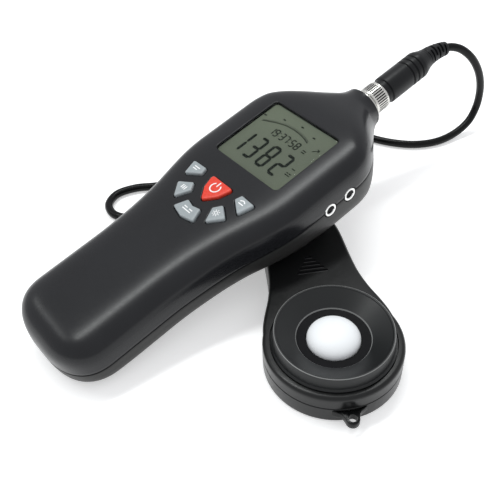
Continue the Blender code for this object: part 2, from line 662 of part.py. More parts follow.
def in_meter(x, y, z):
    tilt = Matrix.Rotation(METER_PITCH, 3, "X")
    return METER_ORIGIN + tilt @ Vector((x, y, z))


def in_probe(x, y, z):
    return PROBE_ORIGIN + Matrix.Rotation(PROBE_TURN, 3, "Z") @ Vector((x, y, z))


BESIDE_COIL = COIL_OUTER + GAP + LEAD_RADIUS

PLUG_EXIT, PLUG_AHEAD = relief_centre((0, 240.3 * MM, AXIS_Z), RELIEF_LENGTH, RELIEF_LEAN, RELIEF_LENGTH)

# From the plug's strain relief down to the ground, back under the plug and along the coil's side
LOOP_ROUTE = [in_meter(*(PLUG_EXIT + PLUG_AHEAD * ahead)) for ahead in (GAP, 3 * MM)]
LOOP_ROUTE += [CENTRE + Vector(p) for p in mm(
    (4.7, 260.8, 56.6), (7.7, 267.0, 51.0), (9.7, 272.6, 42.8), (10.2, 277.4, 32.8), (9.8, 280.2, 22.8),
    (9.6, 279.8, 14.2), (10.0, 274.6, 7.4), (9.4, 264.6, 3.4), (7.0, 251.6, 2.3), (0.8, 240.2, 2.3),
    (-8.6, 232.0, 2.3), (-20.4, 227.4, 2.3), (-33.0, 226.0, 2.3))]
LOOP_ROUTE.append(COIL_CENTRE + Vector((GAP, BESIDE_COIL, LEAD_RADIUS + 0.1 * MM)))

# From the coil's side out in a small loop beside the meter and back to the probe's tail
RETURN_ROUTE = [COIL_CENTRE + Vector((-BESIDE_COIL, -GAP, LEAD_RADIUS + 0.1 * MM))]
RETURN_ROUTE += [CENTRE + Vector(p) for p in mm(
    (-82.6, 175.0, 2.3), (-77.6, 161.0, 2.3), (-70.0, 147.4, 2.3), (-63.6, 134.0, 2.3), (-62.4, 120.6, 2.3),
    (-67.4, 108.4, 2.3), (-74.2, 97.8, 2.3), (-76.4, 87.4, 2.3), (-71.8, 79.6, 2.3), (-63.4, 77.6, 2.3),
    (-55.8, 81.8, 2.3), (-48.6, 90.0, 2.3), (-42.6, 100.0, 2.3), (-40.2, 112.0, 2.3), (-40.4, 124.0, 2.3),
    (-39.8, 136.0, 2.4), (-35.2, 147.0, 3.2), (-26.4, 153.6, 5.4), (-17.4, 154.4, 7.8))]
RETURN_ROUTE += [in_probe(0, 85.3 * MM + TAIL_LENGTH + ahead, LEAD_HEIGHT) for ahead in (3 * MM, GAP)]


def smooth_route(route, spacing):
    """Evenly spaced points on a centripetal curve through the route, with a short straight at each end."""
    ends = [2 * route[0] - route[1]] + route + [2 * route[-1] - route[-2]]
    fine = []
    for a, b, c, d in zip(ends, ends[1:], ends[2:], ends[3:]):
        t1 = (b - a).length ** 0.5
        t2 = t1 + (c - b).length ** 0.5
        t3 = t2 + (d - c).length ** 0.5
        for k in range(24):
            t = t1 + (t2 - t1) * k / 24
            ab = a.lerp(b, t / t1)
            bc = b.lerp(c, (t - t1) / (t2 - t1))
            cd = c.lerp(d, (t - t2) / (t3 - t2))
            fine.append(ab.lerp(bc, t / t2).lerp(bc.lerp(cd, (t - t1) / (t3 - t1)), (t - t1) / (t2 - t1)))
    fine.append(route[-1])
    steps = [0.0]
    for p, q in zip(fine, fine[1:]):
        steps.append(steps[-1] + (q - p).length)
    count = max(2, round(steps[-1] / spacing))
    end = 1.5 * MM
    wanted = [0.0, *np.linspace(end, steps[-1] - end, count + 1), steps[-1]]
    table = np.array([tuple(p) for p in fine])
    return [tuple(np.interp(w, steps, table[:, axis]) for axis in range(3)) for w in wanted]


def make_lead(name, route):
    points = smooth_route(route, 5 * LEAD_RADIUS)
    curve = bpy.data.curves.new(name, "CURVE")
    curve.dimensions = "3D"
    line = curve.splines.new("POLY")
    line.points.add(len(points) - 1)
    for spot, point in zip(line.points, points):
        spot.co = (*point, 1)
    curve.bevel_depth = LEAD_RADIUS
    curve.bevel_resolution = 2
    curve.use_fill_caps = True
    lead = link(name, curve)
    material = bpy.data.materials.new(name)
    material.use_nodes = True
    shader = material.node_tree.nodes["Principled BSDF"]
    shader.inputs["Base Color"].default_value = (*RUBBER, 1)
    shader.inputs["Roughness"].default_value = 0.45
    lead.data.materials.append(material)


def make_coil():
    edge = LEAD_RADIUS
    profile = [(COIL_INNER + edge, 0.0), (COIL_OUTER - edge, 0.0), (COIL_OUTER, edge),
               (COIL_OUTER, COIL_TOP - edge), (COIL_OUTER - edge, COIL_TOP), (COIL_INNER + edge, COIL_TOP),
               (COIL_INNER, COIL_TOP - edge), (COIL_INNER, edge)]
    coil = turned("sensor_lead_coil", profile, None, "Z", COIL_CENTRE, 32)
    finish(coil, RUBBER, 0.45)


# ---------------------------------------------------------------- the whole object

def main():
    for piece in list(bpy.data.objects):
        bpy.data.objects.remove(piece)
    meter = link("meter_frame", None)
    meter.location = METER_ORIGIN
    meter.rotation_euler = (METER_PITCH, 0, 0)
    probe = link("probe_frame", None)
    probe.location = PROBE_ORIGIN
    probe.rotation_euler = (0, 0, PROBE_TURN)
    bpy.context.view_layer.update()

    make_front_case(meter)
    make_rear_case_and_door(meter)
    make_screws(meter)
    make_display(meter)
    make_board(meter)
    make_keys(meter)
    make_battery(meter)
    make_tripod_insert(meter)
    make_jacks(meter)
    make_socket(meter)
    make_plug(meter)

    make_probe_covers(probe)
    make_probe_optics(probe)
    make_lanyard_lug(probe)
    make_relief("sensor_strain_relief", probe, (0, 85.3 * MM, LEAD_HEIGHT), 4.3 * MM, 3.0 * MM, TAIL_LENGTH,
                (0, 0))

    make_lead("sensor_lead_loop", LOOP_ROUTE)
    make_coil()
    make_lead("sensor_lead_return", RETURN_ROUTE)


main()
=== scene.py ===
"""Looks of the handheld light meter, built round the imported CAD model. Metres, +Z up."""
import math

import bmesh
import bpy
import numpy as np
from mathutils import Matrix, Vector


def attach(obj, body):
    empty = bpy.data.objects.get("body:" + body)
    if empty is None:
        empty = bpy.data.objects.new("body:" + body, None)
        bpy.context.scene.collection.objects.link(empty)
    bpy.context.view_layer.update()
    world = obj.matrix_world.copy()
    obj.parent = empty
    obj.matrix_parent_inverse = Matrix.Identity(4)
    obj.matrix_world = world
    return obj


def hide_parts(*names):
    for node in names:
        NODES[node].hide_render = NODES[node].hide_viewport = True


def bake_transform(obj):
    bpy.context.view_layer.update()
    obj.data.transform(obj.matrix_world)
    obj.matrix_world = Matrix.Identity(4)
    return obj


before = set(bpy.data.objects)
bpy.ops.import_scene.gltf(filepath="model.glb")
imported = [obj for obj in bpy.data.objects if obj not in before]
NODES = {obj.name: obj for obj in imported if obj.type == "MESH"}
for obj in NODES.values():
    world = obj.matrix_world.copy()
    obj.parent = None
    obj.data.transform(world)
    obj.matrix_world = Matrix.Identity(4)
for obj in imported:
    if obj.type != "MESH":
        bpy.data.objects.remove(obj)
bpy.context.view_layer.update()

MM = 0.001
GAP = 0.3 * MM


def mm(*rows):
    return np.array(rows, dtype=float) * MM


# ---------------------------------------------------------------- placing, as in the CAD

CENTRE = Vector((-0.03705, -0.1020, 0.0))
METER_PITCH = math.radians(12.14)
METER = Matrix.Translation(CENTRE + Vector((0, 0, 0.0247))) @ Matrix.Rotation(METER_PITCH, 4, "X")
PROBE = Matrix.Translation(CENTRE + Vector((0.0792, 0.0982, 0))) @ Matrix.Rotation(math.radians(59.5), 4, "Z")

# ---------------------------------------------------------------- camera

EYE = CENTRE + Vector((211.88, -45.90, 258.29)) * MM
AZIMUTH = math.radians(52.34)
ELEVATION = math.radians(44.35)
ROLL = math.radians(-2.68)
LENS = 53.27


def make_camera():
    back = Vector((math.sin(AZIMUTH) * math.cos(ELEVATION), -math.cos(AZIMUTH) * math.cos(ELEVATION),
                   math.sin(ELEVATION)))
    right = Vector((math.cos(AZIMUTH), math.sin(AZIMUTH), 0))
    up = back.cross(right)
    across = right * math.cos(ROLL) + up * math.sin(ROLL)
    upward = up * math.cos(ROLL) - right * math.sin(ROLL)
    data = bpy.data.cameras.new("camera")
    data.lens = LENS
    data.sensor_width = 36
    data.clip_start = 0.01
    camera = bpy.data.objects.new("camera", data)
    camera.matrix_world = Matrix.Translation(EYE) @ Matrix((across, upward, back)).transposed().to_4x4()
    bpy.context.scene.collection.objects.link(camera)
    bpy.context.scene.camera = camera


make_camera()

# ---------------------------------------------------------------- mesh helpers


def link(name, mesh, body=None, place=None):
    """A piece in the row frame, riding on a body."""
    if place is not None:
        mesh.transform(place)
    piece = bpy.data.objects.new(name, mesh)
    bpy.context.scene.collection.objects.link(piece)
    if body:
        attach(piece, body)
    return piece


def weld(mesh, distance=1e-6):
    shape = bmesh.new()
    shape.from_mesh(mesh)
    bmesh.ops.remove_doubles(shape, verts=shape.verts, dist=distance)
    bmesh.ops.recalc_face_normals(shape, faces=shape.faces)
    shape.to_mesh(mesh)
    shape.free()


def mesh_of(name, points, faces):
    mesh = bpy.data.meshes.new(name)
    mesh.from_pydata([tuple(p) for p in points], [], faces)
    weld(mesh)
    return mesh


def loft_mesh(name, rings, closed=False):
    """Rings with the same number of points, joined in order, and capped or closed to a ring."""
    count = len(rings[0])
    points = [p for ring in rings for p in ring]
    faces = []
    for level in range(len(rings) if closed else len(rings) - 1):
        low, high = level * count, (level + 1) % len(rings) * count
        faces += [(low + i, low + (i + 1) % count, high + (i + 1) % count, high + i) for i in range(count)]
    if not closed:
        faces.append(tuple(range(count))[::-1])
        faces.append(tuple(range(len(points) - count, len(points))))
    return mesh_of(name, points, faces)


AXES = {"Z": Matrix.Identity(3), "Y": Matrix.Rotation(-math.pi / 2, 3, "X"),
        "X": Matrix.Rotation(math.pi / 2, 3, "Y")}


def turns(count):
    return [2 * math.pi * k / count for k in range(count)]


def turned_mesh(name, profile, along="Z", at=(0, 0, 0), steps=96, wave=None):
    """A (radius, height) profile in mm turned about an axis; wave(angle, radius, height) adds to it."""
    is_ring = profile[0][0] > 0
    rings = []
    for radius, height in (profile if is_ring else profile[1:-1]):
        ring = []
        for angle in turns(steps):
            r = radius + (wave(angle, radius, height) if wave else 0)
            spot = Vector((r * math.cos(angle), r * math.sin(angle), height)) * MM
            ring.append(AXES[along] @ spot + Vector(at))
        rings.append(ring)
    return loft_mesh(name, rings, closed=is_ring)


def round_corner(before, corner, after, radius, steps=4):
    """Points of a fillet in a (radius, height) profile, all in mm."""
    a, c, b = (np.array(p, dtype=float) for p in (before, corner, after))
    come = (c - a) / np.linalg.norm(c - a)
    go = (b - c) / np.linalg.norm(b - c)
    turn = math.acos(float(np.clip(come @ go, -1, 1)))
    cut = min(radius * math.tan(turn / 2), 0.48 * np.linalg.norm(c - a), 0.48 * np.linalg.norm(b - c))
    start, end = c - come * cut, c + go * cut
    return [tuple((1 - t) ** 2 * start + 2 * t * (1 - t) * c + t * t * end)
            for t in (k / steps for k in range(steps + 1))]


def filleted(profile, radius=0.25, steps=3):
    """A (radius, height) profile with every corner rounded, except points on the axis."""
    is_ring = profile[0][0] > 0
    points = []
    for i, corner in enumerate(profile):
        if not is_ring and i in (0, len(profile) - 1):
            points.append(corner)
            continue
        own = radius
        if len(corner) == 3:
            own = corner[2]
        before, after = profile[i - 1], profile[(i + 1) % len(profile)]
        if own == 0:
            points.append(corner[:2])
        else:
            points += round_corner(before[:2], corner[:2], after[:2], own, steps)
    return points


def outline(corners, radius=0.0, grow=0.0, steps=6):
    """A polygon moved outwards by grow, with its corners rounded."""
    corners = np.asarray(corners, dtype=float)
    x, y = corners[:, 0], corners[:, 1]
    if np.sum(x * np.roll(y, -1) - y * np.roll(x, -1)) < 0:
        corners = corners[::-1]
    points = []
    for i in range(len(corners)):
        before, here, after = corners[i - 1], corners[i], corners[(i + 1) % len(corners)]
        come = (here - before) / np.linalg.norm(here - before)
        go = (after - here) / np.linalg.norm(after - here)
        come_out = np.array((come[1], -come[0]))
        go_out = np.array((go[1], -go[0]))
        corner = here + grow * (come_out + go_out) / (1 + come_out @ go_out)
        turn = math.acos(float(np.clip(come @ go, -1, 1)))
        cut = max(radius + grow, 0.05 * MM) * math.tan(turn / 2)
        start, end = corner - come * cut, corner + go * cut
        for k in range(steps + 1):
            t = k / steps
            points.append((1 - t) ** 2 * start + 2 * t * (1 - t) * corner + t * t * end)
    return points


def stack_mesh(name, levels):
    """Outlines at heights: a list of (outline, z)."""
    return loft_mesh(name, [[(x, y, z) for x, y in ring] for ring, z in levels])


def prism(ring, low, high):
    """A straight block with the ring's outline, between two heights."""
    return stack_mesh("block", [(ring, low), (ring, high)])


def rectangle(x0, y0, x1, y1):
    return [(x0, y0), (x1, y0), (x1, y1), (x0, y1)]


def box_mesh(low, high):
    return prism(rectangle(low[0], low[1], high[0], high[1]), low[2], high[2])


def joined(name, meshes):
    """Several meshes as one, without welding."""
    shape = bmesh.new()
    for mesh in meshes:
        shape.from_mesh(mesh)
    mesh = bpy.data.meshes.new(name)
    shape.to_mesh(mesh)
    shape.free()
    return mesh


def carved(mesh, tool, how="DIFFERENCE"):
    """The mesh cut, joined or intersected with a tool mesh."""
    piece = bpy.data.objects.new("carve_piece", mesh)
    cutter = bpy.data.objects.new("carve_tool", tool)
    for item in (piece, cutter):
        bpy.context.scene.collection.objects.link(item)
    cut = piece.modifiers.new("cut", "BOOLEAN")
    cut.object = cutter
    cut.operation = how
    bpy.context.view_layer.update()
    shaped = bpy.data.meshes.new_from_object(piece.evaluated_get(bpy.context.evaluated_depsgraph_get()))
    for item in (piece, cutter):
        bpy.data.objects.remove(item)
    weld(shaped, 2e-6)
    return shaped


def smooth(mesh, angle=32):
    mesh.shade_smooth()
    mesh.set_sharp_from_angle(angle=math.radians(angle))
    return mesh


# ---------------------------------------------------------------- the lead comes first

LEAD_RADIUS = 2.15 * MM
AXIS_Z = -18.0 * MM
LEAD_HEIGHT = 8.4 * MM
COIL_CENTRE = CENTRE + Vector((-0.0460, 0.1880, 0.0))
RELIEF_START = 240.3 * MM
RELIEF_LENGTH = 13.3 * MM
RELIEF_LEAN = (1.6 * MM, -1.6 * MM)
TAIL_START = 85.3 * MM
TAIL_LENGTH = 15.7 * MM


def relief_centre(start, length, lean, y):
    """A point of a strain relief's middle line, which leans over more and more, and its direction."""
    share = y / length
    spot = Vector(start) + Vector((lean[0] * share * share, y, lean[1] * share * share))
    return spot, Vector((2 * lean[0] * share / length, 1, 2 * lean[1] * share / length)).normalized()


def on_table(*spots):
    """Places of the lead from the meter's foot, in mm; a spot without a height lies on the table."""
    return [CENTRE + Vector(p) for p in mm(*((*spot, 2.3)[:3] for spot in spots))]


PLUG_EXIT, PLUG_AHEAD = relief_centre((0, RELIEF_START, AXIS_Z), RELIEF_LENGTH, RELIEF_LEAN, RELIEF_LENGTH)
LOOP_ROUTE = [METER @ (PLUG_EXIT + PLUG_AHEAD * ahead) for ahead in (-1.0 * MM, 3 * MM)]
LOOP_ROUTE += on_table((4.7, 260.8, 56.6), (7.7, 267.0, 51.0), (9.7, 272.6, 42.8), (10.2, 277.4, 32.8),
                       (9.8, 280.2, 22.8), (9.6, 279.8, 14.2), (10.0, 274.6, 7.4), (9.4, 264.6, 3.4),
                       (7.0, 251.6), (0.8, 240.2), (-8.6, 232.0), (-20.4, 226.0), (-33.0, 222.4))
RETURN_ROUTE = on_table((-82.2, 175.0), (-77.6, 161.0), (-70.0, 147.4), (-63.6, 134.0), (-62.4, 120.6),
                        (-67.4, 108.4), (-74.2, 97.8), (-76.4, 87.4), (-71.8, 79.6), (-63.4, 77.6),
                        (-55.8, 81.8), (-48.6, 90.0), (-42.6, 100.0), (-40.2, 112.0), (-40.4, 124.0),
                        (-39.8, 136.0, 2.4), (-35.2, 147.0, 3.2), (-26.4, 153.6, 5.4), (-17.4, 154.4, 7.8))
RETURN_ROUTE += [PROBE @ Vector((0, TAIL_START + TAIL_LENGTH + ahead, LEAD_HEIGHT))
                 for ahead in (3 * MM, -1.0 * MM)]

PER_TURN = 28
TURN_PITCH = 4.4 * MM
FIRST_TURN = 33.2 * MM
LOWER_TURNS = 3.75
CLIMB_TURNS = 0.25
UPPER_TURNS = 2.95
LEAVING_TURNS = 0.30


def coil_points():
    """Turns that wind inwards on the ground, climb, wind outwards on top and slip down outside."""
    points = []
    low = LEAD_RADIUS + 0.1 * MM
    high = low + TURN_PITCH
    inner = FIRST_TURN - TURN_PITCH * LOWER_TURNS
    last = inner + TURN_PITCH * UPPER_TURNS

    def put(turn, radius, height):
        angle = math.radians(90) + 2 * math.pi * turn
        points.append(COIL_CENTRE + Vector((radius * math.cos(angle), radius * math.sin(angle), height)))

    for k in range(round(LOWER_TURNS * PER_TURN)):
        put(k / PER_TURN, FIRST_TURN - TURN_PITCH * k / PER_TURN, low)
    for k in range(8):
        t = k / 8
        put(LOWER_TURNS + CLIMB_TURNS * t, inner, low + TURN_PITCH * (3 - 2 * t) * t * t)
    for k in range(round(UPPER_TURNS * PER_TURN)):
        put(LOWER_TURNS + CLIMB_TURNS + k / PER_TURN, inner + TURN_PITCH * k / PER_TURN, high)
    for k in range(11):
        t = k / 10
        lean = math.radians(-35 + 125 * t)
        share = min(t / 0.3, 1)
        radius = last + (FIRST_TURN - 0.5 * MM + 1.02 * TURN_PITCH * math.sin(lean) - last) * share
        height = high + (low + 1.02 * TURN_PITCH * math.cos(lean) - high) * share
        put(LOWER_TURNS + CLIMB_TURNS + UPPER_TURNS + LEAVING_TURNS * t, radius, height)
    return points


def smooth_route(route, spacing):
    """Evenly spaced points on a centripetal curve through the route's points."""
    ends = [2 * route[0] - route[1]] + route + [2 * route[-1] - route[-2]]
    fine = []
    for a, b, c, d in zip(ends, ends[1:], ends[2:], ends[3:]):
        t1 = (b - a).length ** 0.5
        t2 = t1 + (c - b).length ** 0.5
        t3 = t2 + (d - c).length ** 0.5
        for k in range(16):
            t = t1 + (t2 - t1) * k / 16
            ab = a.lerp(b, t / t1)
            bc = b.lerp(c, (t - t1) / (t2 - t1))
            cd = c.lerp(d, (t - t2) / (t3 - t2))
            early, late = ab.lerp(bc, t / t2), bc.lerp(cd, (t - t1) / (t3 - t1))
            fine.append(early.lerp(late, (t - t1) / (t2 - t1)))
    fine.append(route[-1])
    table = np.array([tuple(p) for p in fine])
    run = np.concatenate(([0.0], np.cumsum(np.linalg.norm(np.diff(table, axis=0), axis=1))))
    wanted = np.linspace(0, run[-1], max(2, round(run[-1] / spacing)) + 1)
    return [Vector([np.interp(w, run, table[:, axis]) for axis in range(3)]) for w in wanted]


def tube_mesh(name, path, radius, steps=20):
    """A round tube along a path, with a frame carried along without twist."""
    last = len(path) - 1
    tangents = [(path[min(i + 1, last)] - path[max(i - 1, 0)]).normalized() for i in range(len(path))]
    side = tangents[0].orthogonal().normalized()
    rings = []
    for spot, ahead in zip(path, tangents):
        side = (side - ahead * side.dot(ahead)).normalized()
        other = ahead.cross(side)
        rings.append([spot + radius * (math.cos(a) * side + math.sin(a) * other)
                      for a in turns(steps)])
    return loft_mesh(name, rings)


LEAD_PATH = smooth_route(LOOP_ROUTE + coil_points() + RETURN_ROUTE, 1.6 * MM)
lead = link("sensor_lead", smooth(tube_mesh("sensor_lead", LEAD_PATH, LEAD_RADIUS), 60))
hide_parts("sensor_lead_loop", "sensor_lead_coil", "sensor_lead_return")
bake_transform(lead)

# ---------------------------------------------------------------- materials


def new_material(name, colour, roughness, metallic=0.0):
    material = bpy.data.materials.new(name)
    material.use_nodes = True
    shader = material.node_tree.nodes["Principled BSDF"]
    shader.inputs["Base Color"].default_value = (*colour, 1)
    shader.inputs["Roughness"].default_value = roughness
    shader.inputs["Metallic"].default_value = metallic
    return material, material.node_tree, shader


def add(tree, kind, **values):
    node = tree.nodes.new(kind)
    for name, value in values.items():
        if name in node.inputs:
            node.inputs[name].default_value = value
        else:
            setattr(node, name, value)
    return node


def noise(tree, scale, detail=3.0, stretch=None):
    """Noise in the piece's own metres: scale is features per metre."""
    place = add(tree, "ShaderNodeTexCoord")
    source = place.outputs["Object"]
    if stretch:
        mapping = add(tree, "ShaderNodeMapping")
        mapping.inputs["Scale"].default_value = stretch
        tree.links.new(source, mapping.inputs["Vector"])
        source = mapping.outputs["Vector"]
    texture = add(tree, "ShaderNodeTexNoise", Scale=scale, Detail=detail)
    tree.links.new(source, texture.inputs["Vector"])
    return texture.outputs["Fac"]


def ramp(tree, source, low, high, start, end):
    """Source from start to end becomes a number or colour from low to high."""
    node = add(tree, "ShaderNodeValToRGB")
    for stop, at, value in zip(node.color_ramp.elements, (start, end), (low, high)):
        stop.position = at
        stop.color = (*value, 1) if isinstance(value, tuple) else (value, value, value, 1)
    tree.links.new(source, node.inputs["Fac"])
    return node.outputs["Color"]


def drive(tree, shader, socket, source, low, high, start=0.35, end=0.65):
    tree.links.new(ramp(tree, source, low, high, start, end), shader.inputs[socket])


def bump(tree, shader, height, strength, distance):
    node = add(tree, "ShaderNodeBump", Strength=strength, Distance=distance)
    tree.links.new(height, node.inputs["Height"])
    tree.links.new(node.outputs["Normal"], shader.inputs["Normal"])


def plastic(name, colour, roughness, grain=2600.0, grain_depth=0.02 * MM, spread=0.025, tint=0.10,
            gloss=0.36):
    """Moulded plastic: fine grain, with slow changes of sheen and colour."""
    material, tree, shader = new_material(name, colour, roughness)
    shader.inputs["Specular IOR Level"].default_value = gloss
    dark = tuple(c * (1 - tint) for c in colour)
    light = tuple(min(c * (1 + tint), 1) for c in colour)
    drive(tree, shader, "Base Color", noise(tree, 38.0, 4.0), dark, light)
    drive(tree, shader, "Roughness", noise(tree, 700.0, 3.0), roughness - spread, roughness + spread)
    bump(tree, shader, noise(tree, grain, 2.0), 0.4, grain_depth)
    return material


def metal(name, colour, roughness, brushed=None):
    """Metal with fine tool marks along one direction."""
    material, tree, shader = new_material(name, colour, roughness, 1.0)
    marks = noise(tree, 900.0, 4.0, brushed or (1, 1, 1))
    drive(tree, shader, "Roughness", marks, roughness - 0.08, roughness + 0.08)
    dark = tuple(c * 0.86 for c in colour)
    drive(tree, shader, "Base Color", noise(tree, 120.0, 3.0), dark, colour)
    bump(tree, shader, marks, 0.25, 0.01 * MM)
    return material


SATIN = (2600.0, 0.0007 * MM, 0.01)
KEY_FINISH = (2400.0, 0.003 * MM, 0.03, 0.05)
M = {
    "front": plastic("case_front_black", (0.0110, 0.0115, 0.0135), 0.25, 2400.0, 0.0015 * MM, 0.015,
                     gloss=0.30),
    "rear": plastic("case_rear_black", (0.022, 0.022, 0.0215), 0.40, 1500.0, 0.012 * MM),
    "probe": plastic("probe_black", (0.0078, 0.0081, 0.0083), 0.30, 2400.0, 0.003 * MM, gloss=0.32),
    "cone": plastic("cone_black", (0.0090, 0.0100, 0.0105), 0.34, *SATIN),
    # Paler plastic as a painted highlight on the lip beside each grip groove.
    "groove_lip_highlight": plastic("groove_lip_painted_highlight", (0.07, 0.07, 0.07), 0.34, *SATIN),
    # Pale plastic as a painted highlight along the cone's rim and inner ledge.
    "rim_highlight": plastic("cone_painted_highlight", (0.21, 0.212, 0.21), 0.30, *SATIN),
    "plug": plastic("plug_black", (0.0060, 0.0065, 0.0075), 0.38, 2400.0, 0.003 * MM, gloss=0.26),
    "lead": plastic("lead_black", (0.0030, 0.0032, 0.0035), 0.26, 1800.0, 0.004 * MM, gloss=0.18),
    # Near-black plastic: the jack bodies' own black, and painted shade in the seam band, the ring's grooves,
    # the grip grooves and the cone's floor.
    "black_and_shade": plastic("black_and_painted_shade", (0.003, 0.003, 0.004), 0.55, 2600.0, 0.004 * MM, gloss=0.12),
    "key": plastic("key_grey", (0.33, 0.365, 0.380), 0.28, *KEY_FINISH),
    "red": plastic("key_red", (0.76, 0.055, 0.030), 0.28, *KEY_FINISH),
    "white_ink": plastic("ink_white", (0.88, 0.88, 0.88), 0.4, 2600.0, 0.002 * MM),
    "dome": plastic("dome_white", (0.95, 0.97, 0.99), 0.42, 1800.0, 0.002 * MM, 0.03, 0.01),
    "inner": plastic("inner_black", (0.02, 0.02, 0.022), 0.5, 1800.0, 0.03 * MM),
    "pale": plastic("inner_pale", (0.62, 0.62, 0.6), 0.5, 1800.0, 0.02 * MM),
    "silicone": plastic("keypad_grey", (0.4, 0.41, 0.43), 0.6, 1200.0, 0.03 * MM),
    "jacket": plastic("battery_jacket", (0.05, 0.055, 0.07), 0.3, 900.0, 0.01 * MM),
    "cell": plastic("photo_cell", (0.03, 0.03, 0.05), 0.16, 900.0, 0.005 * MM),
    "nickel": metal("nickel", (0.72, 0.71, 0.68), 0.24),
    "jack": metal("jack_nickel", (0.88, 0.88, 0.87), 0.2),
    "steel": metal("screw_steel", (0.5, 0.5, 0.51), 0.34),
    "brass": metal("insert_brass", (0.74, 0.56, 0.26), 0.32, (1, 1, 0.1)),
}


def board_material():
    """Green board with paler tracks."""
    material, tree, shader = new_material("board_green", (0.02, 0.12, 0.05), 0.4)
    place = add(tree, "ShaderNodeTexCoord")
    cells = add(tree, "ShaderNodeTexVoronoi", Scale=420.0, feature="DISTANCE_TO_EDGE")
    tree.links.new(place.outputs["Object"], cells.inputs["Vector"])
    drive(tree, shader, "Base Color", cells.outputs["Distance"], (0.05, 0.26, 0.11), (0.015, 0.10, 0.04),
          0.03, 0.09)
    bump(tree, shader, cells.outputs["Distance"], 0.2, 0.03 * MM)
    return material


def lcd_material():
    """The display's greenish grey, with a faint reflector grain and a slow tone change."""
    material, tree, shader = new_material("lcd_grey", (0.17, 0.19, 0.14), 0.55)
    shader.inputs["Specular IOR Level"].default_value = 0.1
    drive(tree, shader, "Base Color", noise(tree, 22.0, 1.0), (0.160, 0.186, 0.138), (0.190, 0.222, 0.160))
    drive(tree, shader, "Roughness", noise(tree, 2400.0, 2.0), 0.52, 0.62)
    return material


def glass_material():
    """Clear window: a thin dark film with a gloss that hardly varies."""
    material, tree, shader = new_material("window_clear", (0.012, 0.014, 0.012), 0.04)
    drive(tree, shader, "Roughness", noise(tree, 60.0, 3.0), 0.035, 0.05)
    shader.inputs["Alpha"].default_value = 0.10
    shader.inputs["IOR"].default_value = 1.45
    return material


M["board"] = board_material()
M["lcd"] = lcd_material()
M["glass"] = glass_material()
M["filter"] = plastic("filter_glass", (0.25, 0.5, 0.52), 0.12, 900.0, 0.002 * MM)


def paint(piece, material):
    piece.data.materials.clear()
    piece.data.materials.append(M[material])
    return piece


def extra_piece(name, mesh, material, body="meter", place=METER):
    """A painted piece on a body."""
    piece = paint(link(name, mesh, body, place), material)
    return piece


def fine_piece(node, mesh, material, body="meter", place=METER):
    """The finer piece that a CAD node is shown as."""
    piece = extra_piece(node + "_fine", mesh, material, body, place)
    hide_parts(node)
    return piece


def repaint(piece, place, materials, chosen):
    """Faces take another of the materials, by number from 1, where chosen(spot in mm) says so."""
    for material in materials:
        piece.data.materials.append(M[material])
    inverse = place.inverted()
    for face in piece.data.polygons:
        face.material_index = chosen(inverse @ face.center / MM)


# ---------------------------------------------------------------- case surfaces

WALL = 2.2 * MM
SEAM_GAP = mm((0, 1.0), (164, 1.0), (180, 0.45), (194, 0.45))
REAR_STEP = 0.15 * MM
CASE_LENGTH = 194.0 * MM
END_LENGTH = 20.0 * MM
REAR_END = 8.0 * MM
HALF_WIDTH = mm((0, 27.8), (50, 27.8), (74, 29.4), (87, 31.3), (98, 34.0), (110, 36.5), (119, 37.4),
                (153, 37.4), (160, 36.2), (166, 33.2), (172, 28.4), (178, 22.6), (184, 17.0), (190, 12.6),
                (194, 10.8))
FRONT_TOP = mm((0, 0), (160, 0), (168, -0.7), (176, -2.5), (184, -5.0), (194, -7.6))
REAR_DEPTH = mm((0, 10.0), (8, 11.4), (20, 13.5), (32, 14.1), (60, 14.1), (88, 15.2), (106, 17.2),
                (122, 19.4), (138, 21.6), (160, 21.6), (170, 18.6), (180, 13.4), (194, 10.0))
SEAM_LINE = mm((0, -15.4), (160, -15.4), (184, -18.0), (194, -18.0))
FINE_Y = np.arange(-20.0, 215.0, 0.25) * MM


def soft_curve(knots, blur):
    """A curve through (position, value) knots, evened out over blur metres."""
    at, value = knots[:, 0], knots[:, 1]
    span = np.diff(at)
    slope = np.diff(value) / span
    tangent = np.zeros_like(at)
    for i in range(1, len(at) - 1):
        if slope[i - 1] * slope[i] > 0:
            tangent[i] = 2 / (1 / slope[i - 1] + 1 / slope[i])
    i = np.clip(np.searchsorted(at, FINE_Y) - 1, 0, len(span) - 1)
    u = np.clip((FINE_Y - at[i]) / span[i], 0, 1)
    fine = value[i] + (value[i + 1] - value[i]) * (3 - 2 * u) * u * u
    fine += u * (1 - u) ** 2 * tangent[i] * span[i] + u * u * (u - 1) * tangent[i + 1] * span[i]
    reach = np.arange(-40, 41) * 0.25 * MM
    weight = np.exp(-0.5 * (reach / blur) ** 2)
    padded = np.concatenate((np.full(40, fine[0]), fine, np.full(40, fine[-1])))
    fine = np.convolve(padded, weight / weight.sum(), "valid")
    return lambda y: np.interp(y, FINE_Y, fine)


width_at = soft_curve(HALF_WIDTH, 2.0 * MM)
top_at = soft_curve(FRONT_TOP, 2.0 * MM)
depth_at = soft_curve(REAR_DEPTH, 2.5 * MM)
seam_at = soft_curve(SEAM_LINE, 2.0 * MM)
seam_gap_at = soft_curve(SEAM_GAP, 2.0 * MM)


def end_fall(y, power, length=END_LENGTH):
    t = np.clip((length - y) / length, 0, 1)
    return (1 - t ** power) ** (1 / power)


def squareness(y, front):
    head = np.clip((y - 70 * MM) / (40 * MM), 0, 1) if front else 0.0
    nose = np.clip((y - 162 * MM) / (26 * MM), 0, 1)
    return (4.0 + head) * (1 - nose) + 2.0 * nose


